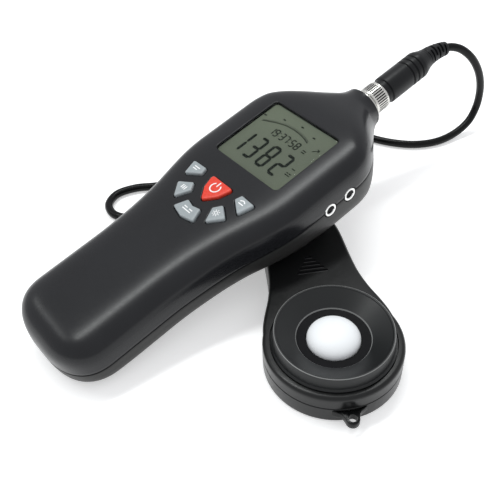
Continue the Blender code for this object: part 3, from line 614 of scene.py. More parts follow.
def half_section(power, from_height, steps):
    """The right half of a unit superellipse above from_height, with points spread by length and by bend."""
    angle = np.linspace(0, math.pi / 2, 3001)
    x = np.cos(angle) ** (2 / power)
    z = np.sin(angle) ** (2 / power)
    x[-1] = z[0] = 0.0
    keep = z > from_height
    x = np.concatenate(([(1 - from_height ** power) ** (1 / power)], x[keep]))
    z = np.concatenate(([from_height], z[keep]))
    step = np.hypot(np.diff(x), np.diff(z))
    heading = np.arctan2(np.diff(z), np.diff(x))
    bend = np.abs(np.diff(heading, append=heading[-1]))
    run = np.concatenate(([0], np.cumsum(step / step.sum() + 0.9 * bend / bend.sum())))
    wanted = np.linspace(0, run[-1], steps + 1)
    return np.interp(wanted, run, x), np.interp(wanted, run, z)


def section_size(y, inset, front):
    """Half width and signed height of the case over the seam at y."""
    if front:
        half = (width_at(y) - inset) * end_fall(y - inset, 2.4)
        return half, (top_at(y) - seam_at(y) - inset) * end_fall(y - inset, 3.0)
    half = (width_at(y) - inset - REAR_STEP) * end_fall(y - inset, 2.4)
    return half, (inset - depth_at(y)) * end_fall(y - inset, 3.5, REAR_END)


def case_ring(y, inset, front, steps, edge=0.0):
    """A cross-section from the right over the face to the left; edge rounds it off at the seam."""
    half, height = section_size(y, inset, front)
    side = 1 if front else -1
    seam = seam_at(y) - (0 if front else float(seam_gap_at(y)))
    edge = min(edge, 0.25 * abs(height), 0.4 * half)
    start = (edge + abs(seam - seam_at(y))) / abs(height)
    across, up = half_section(float(squareness(y, front)), min(start, 0.6), steps)
    right = [(half * a, seam_at(y) + height * u) for a, u in zip(across, up)]
    if edge:
        eased = [(right[0][0] - edge * (1 - math.cos(a)), right[0][1] - side * edge * math.sin(a))
                 for a in (math.pi / 2, math.pi / 4)]
        right = eased + right
    return [(x, y, z) for x, z in right] + [(-x, y, z) for x, z in reversed(right[:-1])]


def surface_z(x, y, front=True):
    """Height of the outer surface over a point of the plan."""
    power = float(squareness(y, front))
    half, height = section_size(y, 0, front)
    return float(seam_at(y) + height * max(1 - abs(x / half) ** power, 0) ** (1 / power))


def stations(first, last, end_steps, pitch):
    """Heights along the case: close together in the rounded end, then evenly spaced."""
    quarter = [math.pi / 2 * (k + 0.15) / end_steps for k in range(end_steps)]
    end = [first + END_LENGTH * (1 - math.cos(a)) for a in quarter]
    count = round((last - first - END_LENGTH) / pitch)
    return end + [first + END_LENGTH + (last - first - END_LENGTH) * k / count for k in range(count + 1)]


SEAM_EDGE = 0.2 * MM


def case_mesh(front):
    """One shell: a fine outer surface with an eased seam edge, less the room inside."""
    side = 1 if front else -1
    outer = loft_mesh("outer", [case_ring(y, 0, front, 36, SEAM_EDGE)
                                for y in stations(0.0, CASE_LENGTH, 26, 1.3 * MM)])
    rings = []
    for y in stations(WALL, 178 * MM, 8, 5 * MM):
        ring = case_ring(y, WALL, front, 14)
        below = seam_at(y) - side * 4 * MM
        rings.append([(ring[0][0], y, below)] + ring + [(ring[-1][0], y, below)])
    return carved(outer, loft_mesh("room", rings))


def make_seam_shade_band():
    """A black band between the shells' walls, painted shade seen at the bottom of the seam."""
    rings = []
    ends = stations(0.3 * MM, 186 * MM, 26, 2 * MM)
    for side, route in ((1, reversed(ends)), (-1, ends)):
        for y in route:
            spots = []
            for inset, rise in ((0.3, 1.0), (0.3, -1.7), (1.4, -1.7), (1.4, 1.0)):
                half = section_size(y + inset * MM, inset * MM, True)[0]
                spots.append((side * half, y + inset * MM, seam_at(y) + rise * MM))
            rings.append(spots)
    extra_piece("seam_shade_band", smooth(loft_mesh("seam_shade_band", rings)), "black_and_shade")


# ---------------------------------------------------------------- openings of the case

WINDOW = rectangle(-21.9 * MM, 119.1 * MM, 21.9 * MM, 158.9 * MM)
WINDOW_CORNER = 2.6 * MM
POWER_KEY = mm((-7.4, 106.7), (7.4, 106.7), (5.1, 99.6), (0, 93.4), (-5.1, 99.6))
UPPER_KEY = mm((13.0, 107.3), (21.8, 106.9), (19.4, 98.7), (12.0, 103.6))
LOWER_KEY = mm((10.7, 98.1), (17.5, 93.6), (11.6, 86.5), (7.8, 94.0))
BOTTOM_KEY = mm((-4.5, 90.0), (0, 88.9), (4.5, 90.0), (7.4, 83.3), (0, 81.6), (-7.4, 83.3))
MIRROR = np.array((-1, 1))
KEYS = {"power_button": POWER_KEY, "key_right_upper": UPPER_KEY, "key_right_lower": LOWER_KEY,
        "key_bottom": BOTTOM_KEY, "key_left_lower": LOWER_KEY * MIRROR, "key_left_upper": UPPER_KEY * MIRROR}
KEY_CORNER = {name: (1.7 if name == "power_button" else 1.0) * MM for name in KEYS}
KEY_GAP = 0.35 * MM
JACK_Z = -16.2 * MM
JACK_Y = (135.3 * MM, 147.5 * MM)
LIP = 0.45 * MM
LIP_DEPTH = 2.2 * MM


def rod_mesh(radius, low, high, along, at, steps=48):
    return turned_mesh("rod", [(0, low), (radius, low), (radius, high), (0, high)], along, at, steps)


def lip_mesh(corners, radius, grow):
    """A rounded edge round an opening of the face, down to LIP_DEPTH."""
    rings = []
    for k in range(6):
        a = math.pi / 2 * k / 5
        ring = outline(corners, radius, grow + LIP * (1 - math.sin(a)))
        rings.append([(x, y, surface_z(x, y) - LIP * (1 - math.cos(a))) for x, y in ring])
    for edge in (0, LIP):
        rings.append([(x, y, -LIP_DEPTH) for x, y in outline(corners, radius, grow + edge)])
    return loft_mesh("lip", rings, closed=True)


def make_front_case():
    openings = [(WINDOW, WINDOW_CORNER, 0.0)]
    openings += [(corners, KEY_CORNER[name], KEY_GAP) for name, corners in KEYS.items()]
    holes = [prism(outline(corners, corner, gap + LIP), -6 * MM, 6 * MM) for corners, corner, gap in openings]
    mesh = carved(case_mesh(True), joined("holes", holes))
    mesh = smooth(carved(mesh, joined("sides", side_tools())))
    lips = [lip_mesh(*opening) for opening in openings]
    fine_piece("front_case", smooth(joined("front_case_fine", [mesh] + lips)), "front")


def side_tools():
    tools = [rod_mesh(3.8, 28, 45, "X", (0, y, JACK_Z)) for y in JACK_Y]
    tools.append(rod_mesh(6.6, 170, 200, "Y", (0, 0, AXIS_Z)))
    return tools


DOOR_LOW_Y = 12.0 * MM
DOOR_HIGH_Y = 70.0 * MM
DOOR_HALF = 20.0 * MM
DOOR_SCREW_Y = 17.5 * MM
INSERT_Y = 92.0 * MM
POSTS = mm((22.0, 81.0), (-22.0, 81.0), (29.6, 161.0), (-29.6, 161.0))


def rim_z(x, y, radius):
    """Highest point of the rear surface on a circle round x, y."""
    return max(surface_z(x + radius * math.cos(a), y + radius * math.sin(a), False) for a in turns(16))


def cup_mesh(radius, low, high, at, thick=0.8):
    """A tube wall that lines a screw hole, in mm."""
    profile = [(radius, low), (radius + thick, low), (radius + thick, high), (1.8, high), (1.8, high - 0.8),
               (radius, high - 0.8)]
    return turned_mesh("cup", profile, "Z", at, 32)


def make_rear_case():
    shell = case_mesh(False)
    door = shell.copy()
    corners = rectangle(-DOOR_HALF, DOOR_LOW_Y, DOOR_HALF, DOOR_HIGH_Y)
    shell = carved(shell, prism(outline(corners, 1.2 * MM, GAP), -45 * MM, -23.4 * MM))
    door = carved(door, prism(outline(corners, 1.2 * MM), -45 * MM, -23.7 * MM), "INTERSECT")
    holes = side_tools()
    for x, y in POSTS:
        holes.append(rod_mesh(3.2, -60, -22.6, "Z", (x, y, 0)))
    holes.append(rod_mesh(4.8, -60, -22.0, "Z", (0, INSERT_Y, 0)))
    shell = carved(shell, joined("holes", holes))
    cups = [cup_mesh(3.2, rim_z(x, y, 4.0 * MM) / MM + 0.2, -21.8, (x, y, 0)) for x, y in POSTS]
    face = surface_z(0, INSERT_Y, False) / MM
    collar = filleted([(4.75, face + 8.9), (4.75, face - 0.15), (6.2, face - 0.15), (6.6, face + 0.4),
                       (6.6, face + 8.9)], 0.2)
    cups.append(turned_mesh("collar", collar, "Z", (0, INSERT_Y, 0), 64))
    fine_piece("rear_case", smooth(joined("rear_case_fine", [shell] + cups)), "rear")

    screw_at = (0, DOOR_SCREW_Y, 0)
    tools = [rod_mesh(2.9, -60, -27.0, "Z", screw_at, 40), rod_mesh(1.7, -60, -20, "Z", screw_at)]
    door = carved(door, joined("screw", tools))
    ribs = []
    for k in range(7):
        y = 58.0 * MM + k * 1.5 * MM
        ribs.append(rounded_bar(9.0 * MM, y, surface_z(0, y, False), 0.45 * MM))
    for side in (-1, 1):
        left, right = side * 16 * MM - 2 * MM, side * 16 * MM + 2 * MM
        ribs.append(box_mesh((left, 65 * MM, -27.4 * MM), (right, 69 * MM, -24.6 * MM)))
        ribs.append(box_mesh((left, 67 * MM, -25.8 * MM), (right, 73 * MM, -24.6 * MM)))
    boss = [(1.7, -27.0), (3.8, -27.0), (3.8, -25.6), (1.7, -25.6)]
    ribs.append(turned_mesh("boss", boss, "Z", (0, DOOR_SCREW_Y, 0), 32))
    whole = smooth(joined("battery_door_fine", [door] + ribs))
    fine_piece("battery_door", whole, "rear", "door")


def rounded_bar(half, y, face, size):
    """A low bar across the door, with round ends."""
    rings = []
    for k in range(9):
        a = math.pi * k / 8
        rings.append((y + size * math.cos(a), face + 0.1 * MM - size * 0.8 * math.sin(a)))
    points = [[(x, yy, zz) for yy, zz in rings] for x in (-half, -half + size, half - size, half)]
    for ring in (points[0], points[-1]):
        for i, (x, yy, zz) in enumerate(ring):
            ring[i] = (x, y + (yy - y) * 0.4, face + 0.1 * MM + (zz - face - 0.1 * MM) * 0.4)
    return loft_mesh("bar", points)


make_front_case()
make_rear_case()
make_seam_shade_band()

# ---------------------------------------------------------------- keys


def key_mesh(corners, corner):
    levels = [(1.0, -5.0), (1.0, -4.2), (0.0, -4.2), (0.0, 0.35)]
    for k in range(1, 6):
        a = math.pi / 2 * k / 5
        levels.append((-0.75 * (1 - math.cos(a)), 0.35 + 0.75 * math.sin(a)))
    levels += [(-1.4, 1.16), (-2.2, 1.19)]
    return stack_mesh("key", [(outline(corners, corner, grow * MM), z * MM) for grow, z in levels])


KEY_TOP = 1.165 * MM
MARK_TOP = KEY_TOP + 0.05 * MM
POWER_MARK = (0.0, 102.2 * MM)


def arc_strip(radius, width, start, end, centre, steps=40):
    """A flat printed arc."""
    inner, outer = radius - width / 2, radius + width / 2
    rings = []
    for k in range(steps + 1):
        a = math.radians(start + (end - start) * k / steps)
        c, s = math.cos(a), math.sin(a)
        rings.append([(centre[0] + r * c, centre[1] + r * s, z) for r, z in
                      ((inner, KEY_TOP), (outer, KEY_TOP), (outer, MARK_TOP), (inner, MARK_TOP))])
    return loft_mesh("arc", rings)


def mark_mesh(a, b, width):
    """A flat printed stroke from a to b."""
    a, b = Vector(a), Vector(b)
    along = (b - a).normalized() * width / 2
    side = Vector((-along.y, along.x))
    corners = [a - along + side * 0.3, a - along * 0.3 + side, b + along * 0.3 + side, b + along + side * 0.3,
               b + along - side * 0.3, b + along * 0.3 - side, a - along * 0.3 - side, a - along - side * 0.3]
    return prism(corners, KEY_TOP, MARK_TOP)


def key_marks(name, centre):
    """Plain printed marks in place of lettering."""
    x, y = centre

    def stroke(x0, y0, x1, y1, width=0.52):
        return mark_mesh((x + x0 * MM, y + y0 * MM), (x + x1 * MM, y + y1 * MM), width * MM)

    if name == "power_button":
        x, y = POWER_MARK
        return [arc_strip(2.55 * MM, 0.62 * MM, 128, 412, POWER_MARK), stroke(0, 0.9, 0, 3.2, 0.62)]
    if name == "key_left_upper":
        return [stroke(-1.7, 0.7, 1.5, 0.7), stroke(-1.7, -0.6, 0.7, -0.6)]
    if name == "key_right_upper":
        return [stroke(-1.5, 0.6, -0.1, 1.4), stroke(-0.1, 1.4, 1.3, 0.6), stroke(-1.3, -0.7, 1.3, -0.7)]
    if name == "key_left_lower":
        return [stroke(-1.1, -0.9, -1.1, 0.9), stroke(0.0, -0.9, 0.0, 0.9), stroke(1.1, -0.9, 1.1, 0.9)]
    if name == "key_bottom":
        return [stroke(-2.6, 0.4, -0.8, 0.4), stroke(0.8, 0.4, 2.6, 0.4), stroke(-2.6, -0.9, 2.6, -0.9)]
    rays = []
    for k in range(8):
        a = math.radians(45 * k)
        c, d = math.cos(a), math.sin(a)
        rays.append(stroke(1.25 * c, 1.25 * d, 1.75 * c, 1.75 * d, 0.34))
    return rays + [arc_strip(0.75 * MM, 0.3 * MM, 0, 359, centre, 24)]


def make_keys():
    for name, corners in KEYS.items():
        is_red = name == "power_button"
        mesh = smooth(key_mesh(corners, KEY_CORNER[name]), 40)
        fine_piece(name, mesh, "red" if is_red else "key", name + "_body")
        marks = joined(name + "_mark", key_marks(name, corners.mean(axis=0)))
        extra_piece(name + "_mark", marks, "white_ink", name + "_body")


make_keys()

# ---------------------------------------------------------------- display

PANEL_LOW = (-23.4 * MM, 117.8 * MM, -4.8 * MM)
PANEL_HIGH = (23.4 * MM, 159.6 * MM, -3.0 * MM)
PANEL_TOP = -1.75 * MM
INK = 0.04 * MM
SEGMENTS = {0: "abcdef", 1: "bc", 2: "abged", 3: "abgcd", 4: "fgbc", 5: "afgcd", 7: "abc", 8: "abcdefg",
            9: "abfgcd"}


def plate(points):
    """A flat polygon of ink on the panel; points in mm."""
    return prism([(x * MM, y * MM) for x, y in points], PANEL_TOP, PANEL_TOP + INK)


def stroke_plate(a, b, width, point=0.42):
    """A display bar from a to b with pointed ends, in mm."""
    a, b = Vector(a), Vector(b)
    along = (b - a).normalized() * width
    side = Vector((-along.y, along.x)) / 2
    corners = [a, a + along * point + side, b - along * point + side, b, b - along * point - side,
               a + along * point - side]
    return plate(corners)


def digit(value, x, y, width, height, stroke):
    """A seven-bar digit with its lower left corner at x, y, in mm."""
    gap = 0.03 * stroke
    x0, x1 = x + stroke / 2, x + width - stroke / 2
    y0, y1, y2 = y + stroke / 2, y + height / 2, y + height - stroke / 2
    ends = {"a": ((x0, y2), (x1, y2)), "b": ((x1, y2), (x1, y1)), "c": ((x1, y1), (x1, y0)),
            "d": ((x0, y0), (x1, y0)), "e": ((x0, y1), (x0, y0)), "f": ((x0, y2), (x0, y1)),
            "g": ((x0, y1), (x1, y1))}
    bars = []
    for name in SEGMENTS[value]:
        a, b = Vector(ends[name][0]), Vector(ends[name][1])
        inset = (b - a).normalized() * gap
        bars.append(stroke_plate(a + inset, b - inset, stroke))
    return bars


SCALE_ARC = ((-19.0, 146.1), (-15.6, 147.5), (-11.9, 149.1), (-6.7, 150.7), (-2.0, 151.1), (2.2, 150.9),
             (6.4, 150.2), (10.0, 148.9))


def display_marks():
    """Reading, clock and needle scale: bars and generic numbers only."""
    marks = []
    for value, x in zip((1, 3, 8, 2), (-18.6, -10.0, -1.1, 7.8)):
        marks += digit(value, x, 124.6, 5.8, 14.6, 1.55)
    for value, x in zip((1, 9, 3, 7, 5, 8), (-10.6, -7.7, -3.6, -0.7, 3.4, 6.5)):
        marks += digit(value, x, 142.2, 2.6, 4.8, 0.68)
    for x in (-4.45, 2.55):
        for y in (143.4, 145.5):
            marks.append(plate(rectangle(x - 0.25, y, x + 0.25, y + 0.5)))
    for a, b in zip(SCALE_ARC, SCALE_ARC[1:]):
        marks.append(stroke_plate(a, b, 0.4, 0.1))
        for k in range(5):
            t = (k + 0.5) / 5
            spot = Vector(a).lerp(Vector(b), t)
            marks.append(stroke_plate(spot + Vector((0, 0.2)), spot + Vector((0, 1.15)), 0.3, 0.1))
    for x, y in ((-20.3, 149.7), (-10.0, 153.0), (0.7, 154.8), (10.3, 153.1)):
        marks.append(stroke_plate((x - 0.9, y), (x + 0.9, y), 0.8, 0.2))
    for x0, x1, y in ((16.2, 18.4, 133.6), (15.9, 17.1, 130.6), (17.5, 19.0, 130.6), (15.9, 19.0, 129.4),
                      (11.6, 14.0, 143.4), (11.6, 14.0, 144.6)):
        marks.append(stroke_plate((x0, y), (x1, y), 0.55, 0.2))
    arrow_tip = (18.4, 149.0)
    for start in ((15.6, 146.6), (17.0, 149.2), (18.2, 147.6)):
        marks.append(stroke_plate(start, arrow_tip, 0.45, 0.2))
    return marks


def make_display():
    rim = outline(WINDOW, WINDOW_CORNER, -GAP)
    glass = stack_mesh("glass", [(rim, -3.4 * MM), (rim, -1.9 * MM),
                                 (outline(WINDOW, WINDOW_CORNER, -GAP - 0.1 * MM), PANEL_TOP)])
    slab = box_mesh(PANEL_LOW, PANEL_HIGH)
    fine_piece("lcd_panel", smooth(carved(slab, glass, "UNION")), "lcd")
    extra_piece("lcd_marks", joined("lcd_marks", display_marks()), "segment")
    edge, low, high = 0.25, -1.6, -0.45
    levels = [(-2 * edge, low), (-edge, low), (0, low + edge), (0, high - edge),
              (-0.3 * edge, high - 0.3 * edge), (-edge, high), (-2 * edge, high)]
    lens = stack_mesh("lens", [(outline(WINDOW, WINDOW_CORNER, grow * MM - GAP), z * MM)
                               for grow, z in levels])
    fine_piece("display_window", smooth(lens), "glass")


M["segment"] = plastic("lcd_segment", (0.006, 0.010, 0.007), 0.5, 2600.0, 0.002 * MM, gloss=0.1)
make_display()

# ---------------------------------------------------------------- connector and jacks


def axis_piece(node, profile, material, body="meter", steps=96, wave=None, angle=32):
    """A CAD node's finer piece, turned about the connector's axis."""
    mesh = smooth(turned_mesh(node + "_fine", profile, "Y", (0, 0, AXIS_Z), steps, wave), angle)
    return fine_piece(node, mesh, material, body)


RIBS = 36
RIB_DEPTH = 0.45
RIB_LOW, RIB_HIGH = 198.3, 204.7
BAND_RADIUS = 7.35


def rib_wave(angle, radius, height):
    """Narrow lengthwise grooves round the gripping band of the locking ring."""
    if radius < 7.1 or not RIB_LOW <= height <= RIB_HIGH:
        return 0.0
    ends = min((height - RIB_LOW) / 0.4, (RIB_HIGH - height) / 0.4, 1.0)
    groove = max(0.0, (math.cos(RIBS * angle) - 0.1) / 0.9)
    return -RIB_DEPTH * ends * groove ** 0.6


def paint_groove_shade(piece):
    """The band's groove floors are painted black as shade."""

    def chosen(spot):
        off_axis = math.hypot(spot.x, spot.z - AXIS_Z / MM)
        return int(198.4 < spot.y < 204.6 and 6.7 < off_axis < 7.22)

    repaint(piece, METER, ("black_and_shade",), chosen)


SLOTS = 5


def slotted_relief(start, wide, narrow, length, lean):
    """A tapered sleeve with slots that leave two bridges, turned a quarter from slot to slot."""
    steps, count = 64, 90
    rings = []
    for k in range(count + 1):
        y = length * k / count
        spot, ahead = relief_centre(start, length, lean, y)
        right = ahead.cross(Vector((0, 0, 1))).normalized()
        up = right.cross(ahead)
        base = wide + (narrow - wide) * y / length
        ring = []
        for a in turns(steps):
            radius = base
            for n in range(SLOTS):
                middle = length * (0.16 + 0.68 * n / (SLOTS - 1))
                near = max(0.0, 1 - (abs(y - middle) / (0.5 * MM)) ** 4)
                open_part = abs(math.cos(a + (math.pi / 2 if n % 2 else 0.0)))
                cut = min(max((open_part - 0.3) / 0.12, 0), 1)
                radius -= 1.15 * MM * min(near * 3, 1) * cut
            edge = min(y, length - y) / (0.35 * MM)
            radius -= 0.35 * MM * (1 - math.sqrt(1 - (1 - min(edge, 1)) ** 2))
            ring.append(spot + radius * (math.cos(a) * right + math.sin(a) * up))
        rings.append(ring)
    return smooth(loft_mesh("relief", rings), 40)


JACK_PROFILE = filleted([(2.05, 35.4), (3.4, 35.4), (3.4, 37.1, 0.35), (3.1, 37.4, 0.2), (2.3, 37.35, 0.2),
                         (2.05, 37.0, 0.2)], 0.1)


def make_connector():
    washer = [(6.5, 194.3), (7.7, 194.3), (7.9, 194.7), (7.9, 196.1), (7.6, 196.6), (6.5, 196.6)]
    axis_piece("socket_washer", filleted(washer, 0.2), "nickel")
    band = [(7.0, 197.2), (7.3, 197.5)]
    levels = (197.9, 198.2, 198.35, 198.55, 198.8, 199.4, 200.2, 201.0, 201.8, 202.6, 203.4, 204.1, 204.35,
              204.6, 204.8, 205.3)
    band += [(BAND_RADIUS, h) for h in levels]
    band += [(7.2, 205.7), (6.9, 205.9), (4.9, 205.9), (4.9, 203.6), (6.5, 203.6), (6.5, 197.2)]
    ring = axis_piece("locking_ring", band, "nickel", "ring", 12 * RIBS, rib_wave, 40)
    # Painted shade: the band's groove floors turn black.
    paint_groove_shade(ring)
    grooves = []
    for y in (223.6, 226.9, 230.2):
        grooves += [(7.2, y), (6.5, y + 0.3), (6.5, y + 1.1), (7.2, y + 1.4)]
    body = [(0, 209.0), (4.8, 209.0), (4.8, 206.3), (6.55, 206.3), (6.6, 208.3, 0.1), (6.25, 208.5, 0.1),
            (6.35, 209.2, 0.1), (7.15, 209.5), (7.2, 210.6)] + grooves
    body += [(7.2, 233.6, 0.8), (6.8, 235.0, 0.8), (5.5, 238.4, 0.8), (5.2, 240.0, 0.3), (0, 240.0)]
    plug = axis_piece("plug_body", filleted(body, 0.22), "plug", "plug")
    relief = slotted_relief((0, RELIEF_START, AXIS_Z), 5.0 * MM, 3.6 * MM, RELIEF_LENGTH, RELIEF_LEAN)
    sleeve = fine_piece("plug_strain_relief", relief, "plug", "plug")
    for n, y in enumerate(JACK_Y):
        mesh = smooth(turned_mesh("jack", JACK_PROFILE, "X", (0, y, JACK_Z), 72))
        fine_piece(f"jack_bush_{n + 1}", mesh, "jack")
    return [sleeve, plug, ring, NODES["plug_insert"], NODES["plug_sleeve"]]


CORD_ENDS = make_connector()
[tuple(p) for p in LEAD_PATH]

# ---------------------------------------------------------------- probe

PROBE_RADIUS = 29.8 * MM
PROBE_TAIL = 85 * MM
PROBE_HALF = mm((9.0, 28.4), (18, 26.4), (28, 22.9), (39, 20.5), (50, 19.6), (64, 18.9), (74, 17.0),
                (80, 14.0), (84, 9.4), (85, 6.5))
SCREW_SPOTS = mm((20.5, -11.0), (-20.5, -11.0), (0, 62.0))
GRIP_GROOVES = mm((40.0, 7.2), (42.3, 5.9), (44.6, 4.6), (46.9, 3.3), (49.2, 2.0))
probe_half_at = soft_curve(PROBE_HALF, 1.2 * MM)


def probe_plan():
    """Plan of the probe, evenly spaced: a disc whose sides sweep into the handle's round end."""
    join = math.atan2(PROBE_HALF[0][0], PROBE_HALF[0][1])
    ring = [(PROBE_RADIUS * math.cos(a), PROBE_RADIUS * math.sin(a))
            for a in np.linspace(-math.pi - join, join, 90)]
    stops = np.concatenate((np.arange(11, 78, 1.5), np.arange(78, 84, 0.5))) * MM
    side = [(float(probe_half_at(y)), y) for y in stops]
    wide, low = side[-1]
    quarter = np.linspace(0, math.pi / 2, 12)
    end = [(wide * math.cos(a), low + (PROBE_TAIL - low) * math.sin(a)) for a in quarter]
    right = side[:-1] + end
    plan = np.array(ring + right + [(-x, y) for x, y in reversed(right[:-1])])
    for _ in range(3):
        plan[90:] = (np.roll(plan, 1, axis=0)[90:] + 2 * plan[90:] + np.roll(plan, -1, axis=0)[90:]) / 4
    return plan


PLAN = probe_plan()


def inset_plan(inset):
    """The plan moved inwards along its own normals."""
    before, after = np.roll(PLAN, 1, axis=0), np.roll(PLAN, -1, axis=0)
    along = after - before
    along /= np.linalg.norm(along, axis=1)[:, None]
    return PLAN + inset * np.stack((-along[:, 1], along[:, 0]), axis=1)


def rounded_levels(start, end, radius, steps=6):
    """(inset, z) pairs of a quarter round from an upright wall at start to a flat face at end."""
    side = 1 if end > start else -1
    return [(radius * (1 - math.cos(a)), end - side * radius * (1 - math.sin(a)))
            for a in (math.pi / 2 * k / steps for k in range(steps + 1))]


def probe_cover(name, levels):
    return stack_mesh(name, [([tuple(p) for p in inset_plan(inset * MM)], z * MM) for inset, z in levels])


def groove_tool(y, half):
    """A round-bottomed groove across the handle."""
    size = 0.62 * MM
    rings = []
    for x, scale in ((-half, 0.3), (-half + 0.7 * MM, 1), (half - 0.7 * MM, 1), (half, 0.3)):
        rings.append([(x, y + scale * size * math.cos(a), 15.3 * MM + scale * 0.9 * MM * math.sin(a))
                      for a in turns(16)])
    return loft_mesh("groove", rings)


LIP_TOP = 15.26 * MM


def groove_lip(y, half):
    """The fine raised edge along the near side of a handle groove."""
    near, far, low = y - 0.82 * MM, y - 0.6 * MM, 15.0 * MM
    return loft_mesh("lip", [[(x, far, low), (x, far, LIP_TOP), (x, near, LIP_TOP), (x, near, low)]
                             for x in (0.5 * MM - half, half - 0.5 * MM)])


def make_probe():
    top = probe_cover("top", [(0.25, 8.6), (0.0, 8.85), (0.05, 12.0)] + rounded_levels(12, 15.2, 1.7))
    top = carved(top, probe_cover("room", [(2.3, 7.0), (2.3, 11.6)]))
    lead_hole = rod_mesh(3.0, 60, 100, "Y", (0, 0, LEAD_HEIGHT), 32)
    top = carved(top, joined("tools", [rod_mesh(26.9, 13.7, 20, "Z", (0, 0, 0), 128), lead_hole]))
    top = carved(top, rod_mesh(10.3, 8, 20, "Z", (0, 0, 0), 64))
    top = carved(top, joined("grooves", [groove_tool(y, half) for y, half in GRIP_GROOVES]))
    seat = filleted([(26.85, 12.0), (28.0, 12.0), (28.0, 15.15), (27.15, 15.15, 0.3), (26.85, 14.85, 0.2)],
                    0.1)
    post = [(1.7, 8.9), (3.2, 8.9), (3.2, 12.4), (1.7, 12.4)]
    posts = [turned_mesh("post", post, "Z", (x, y, 0), 32) for x, y in SCREW_SPOTS]
    lips = [groove_lip(y, half) for y, half in GRIP_GROOVES]
    seat = turned_mesh("seat", seat, "Z", steps=128)
    whole = smooth(joined("sensor_top_cover_fine", [top, seat] + posts + lips), 35)
    piece = fine_piece("sensor_top_cover", whole, "probe", place=PROBE)

    # Painted highlight on each groove's lip (1) and painted shade inside the groove (2).
    def in_groove(spot):
        for y, half in GRIP_GROOVES / MM:
            if abs(spot.x) < half and spot.z > 14.3:
                if y - 0.83 < spot.y < y - 0.59:
                    return 1
                if abs(spot.y - y) < 0.6 and spot.z < 15.17:
                    return 2
        return 0

    repaint(piece, PROBE, ("groove_lip_highlight", "black_and_shade"), in_groove)

    low = [(inset + 0.05, z) for inset, z in reversed(rounded_levels(8, 0, 1.3))] + [(0.0, 8.05), (0.25, 8.3)]
    base = probe_cover("base", low)
    base = carved(base, probe_cover("room", [(2.3, 2.2), (2.3, 10)]))
    tools = [rod_mesh(3.1, -2, 4.4, "Z", (x, y, 0), 32) for x, y in SCREW_SPOTS]
    base = carved(base, joined("tools", tools + [lead_hole]))
    post = [(1.7, 3.4), (3.1, 3.4), (3.1, 0.25), (4.4, 0.25), (4.4, 6.4), (1.7, 6.4)]
    posts = [turned_mesh("post", post, "Z", (x, y, 0), 32) for x, y in SCREW_SPOTS]
    whole = smooth(joined("sensor_bottom_cover_fine", [base] + posts), 35)
    fine_piece("sensor_bottom_cover", whole, "probe", place=PROBE)

    cone = [(11.7, 14.0, 0), (26.5, 14.0), (26.5, 15.4, 0.3), (25.75, 16.1, 0.3), (25.2, 21.0, 0.3),
            (25.1, 21.6, 0.35), (24.25, 21.6, 0.35), (23.9, 21.15, 0.2), (15.9, 16.9, 0.3), (15.6, 16.3, 0.2),
            (11.7, 16.05, 0)]
    mesh = smooth(turned_mesh("cone", filleted(cone, 0.2), "Z", steps=160), 35)
    piece = fine_piece("light_cone", mesh, "cone", place=PROBE)

    # Painted highlight on the rim and the inner ledge (1); painted shade on the cone's floor inside 15.6 mm
    # (2).
    def on_cone(spot):
        off_axis = math.hypot(spot.x, spot.y)
        on_rim = spot.z > 21.3 and 24.75 < off_axis < 25.1
        on_ledge = spot.z > 16.2 and 15.75 < off_axis < 16.05
        return 1 if on_rim or on_ledge else 2 if off_axis < 15.6 else 0

    repaint(piece, PROBE, ("rim_highlight", "black_and_shade"), on_cone)

    crown, rim, rise = 16.0, 11.35, 5.8
    dome = [(0, 14.0), (rim, 14.0), (rim, crown)]
    dome += [(rim * math.cos(a), crown + rise * math.sin(a)) for a in np.radians(np.arange(4, 89, 4))]
    dome.append((0, crown + rise))
    mesh = smooth(turned_mesh("dome", dome, "Z", steps=96), 50)
    fine_piece("diffuser_dome", mesh, "dome", place=PROBE)

    rim = PROBE_RADIUS + 0.15 * MM
    base = [(rim * math.sin(math.radians(a)), -rim * math.cos(math.radians(a))) for a in range(14, -15, -4)]
    eye = 33.6 * MM
    left = [(-5.4, -30.3), (-4.2, -31.0), (-3.4, -32.1)]
    tip = [(2.9 * MM * math.cos(math.radians(a)), -eye + 2.9 * MM * math.sin(math.radians(a)))
           for a in range(185, 356, 10)]
    plan = base + [(x * MM, y * MM) for x, y in left] + tip + [(-x * MM, y * MM) for x, y in reversed(left)]
    middle = np.array((0.0, -31.6 * MM))

    def shrunk(amount):
        return [tuple(np.array(p) + (middle - np.array(p)) * amount) for p in plan]

    levels = [(0.08, 4.4), (0.02, 4.55), (0, 4.9), (0, 7.1), (0.02, 7.45), (0.08, 7.6)]
    lug = stack_mesh("lug", [(shrunk(amount), z * MM) for amount, z in levels])
    lug = carved(lug, rod_mesh(1.7, 0, 12, "Z", (0, -eye, 0), 40))
    # The lug takes the darker lead plastic as painted shade.
    fine_piece("lanyard_lug", smooth(lug, 40), "lead", place=PROBE)

    relief = slotted_relief((0, TAIL_START, LEAD_HEIGHT), 4.3 * MM, 3.0 * MM, TAIL_LENGTH, (0, 0))
    fine_piece("sensor_strain_relief", relief, "plug", place=PROBE)


make_probe()
paint(lead, "lead")

# ---------------------------------------------------------------- pieces that keep their CAD shape

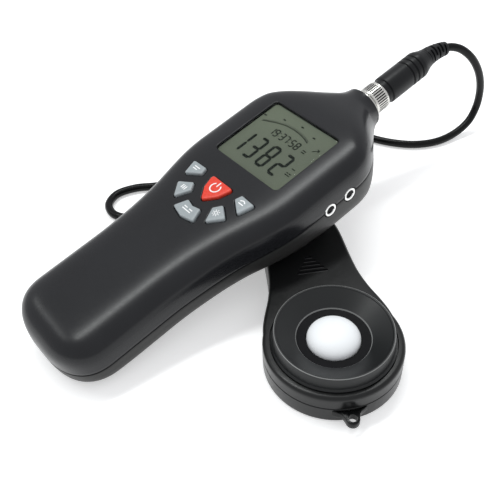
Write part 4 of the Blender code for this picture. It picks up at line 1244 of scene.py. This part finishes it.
KEPT = {
    "pale": "backlight_panel lcd_frame",
    "inner": "zebra_strip buzzer battery_snap socket_insert plug_insert",
    "board": "main_board sensor_board", "silicone": "keypad_membrane", "jacket": "battery",
    "cell": "photodiode",
    "steel": "battery_door_screw case_screw_1 case_screw_2 case_screw_3 case_screw_4 "
             "sensor_screw_1 sensor_screw_2 sensor_screw_3",
    "brass": "tripod_insert", "black_and_shade": "jack_body_1 jack_body_2", "nickel": "socket_body plug_sleeve",
    "filter": "colour_filter",
}
for material, nodes in KEPT.items():
    for node in nodes.split():
        paint(NODES[node], material)

# ---------------------------------------------------------------- floor and light


def area_light(name, place, along, size, energy, colour=(1, 1, 1)):
    """A softbox facing the object, its long side lying along a horizontal direction."""
    data = bpy.data.lights.new(name, "AREA")
    data.shape = "RECTANGLE"
    data.size, data.size_y = size
    data.energy = energy
    data.color = colour
    light = bpy.data.objects.new(name, data)
    away = Vector(place).normalized()
    lengthwise = Vector(along)
    lengthwise = (lengthwise - away * lengthwise.dot(away)).normalized()
    turn = Matrix((lengthwise.cross(away), lengthwise, away)).transposed().to_4x4()
    light.matrix_world = Matrix.Translation(CENTRE + Vector(place)) @ turn
    bpy.context.scene.collection.objects.link(light)


def make_stage():
    mesh = mesh_of("floor", [(-4, -4, 0), (4, -4, 0), (4, 4, 0), (-4, 4, 0)], [(0, 1, 2, 3)])
    floor = link("floor", mesh)
    material, tree, shader = new_material("floor_pale", (0.93, 0.93, 0.93), 0.6)
    drive(tree, shader, "Base Color", noise(tree, 9.0, 2.0), 0.925, 0.945)
    shader.inputs["Specular IOR Level"].default_value = 0.15
    shader.inputs["Emission Color"].default_value = (1, 1, 1, 1)
    shader.inputs["Emission Strength"].default_value = 0.40
    mesh.materials.append(material)
    scene = bpy.context.scene
    scene.view_settings.view_transform = "Standard"
    world = bpy.data.worlds.new("studio")
    scene.world = world
    world.use_nodes = True
    world.node_tree.nodes["Background"].inputs["Color"].default_value = (0.97, 0.98, 1, 1)
    world.node_tree.nodes["Background"].inputs["Strength"].default_value = 0.7
    area_light("strip_light", (-0.38, 0.17, 1.2), (0.16, 0.99, 0.0), (0.14, 1.3), 8.0, (0.97, 1.0, 0.99))
    area_light("end_light", (-0.82, -0.50, 0.86), (-0.9, 0.1, 0.0), (0.12, 0.6), 0.8, (0.97, 1.0, 0.99))


make_stage()
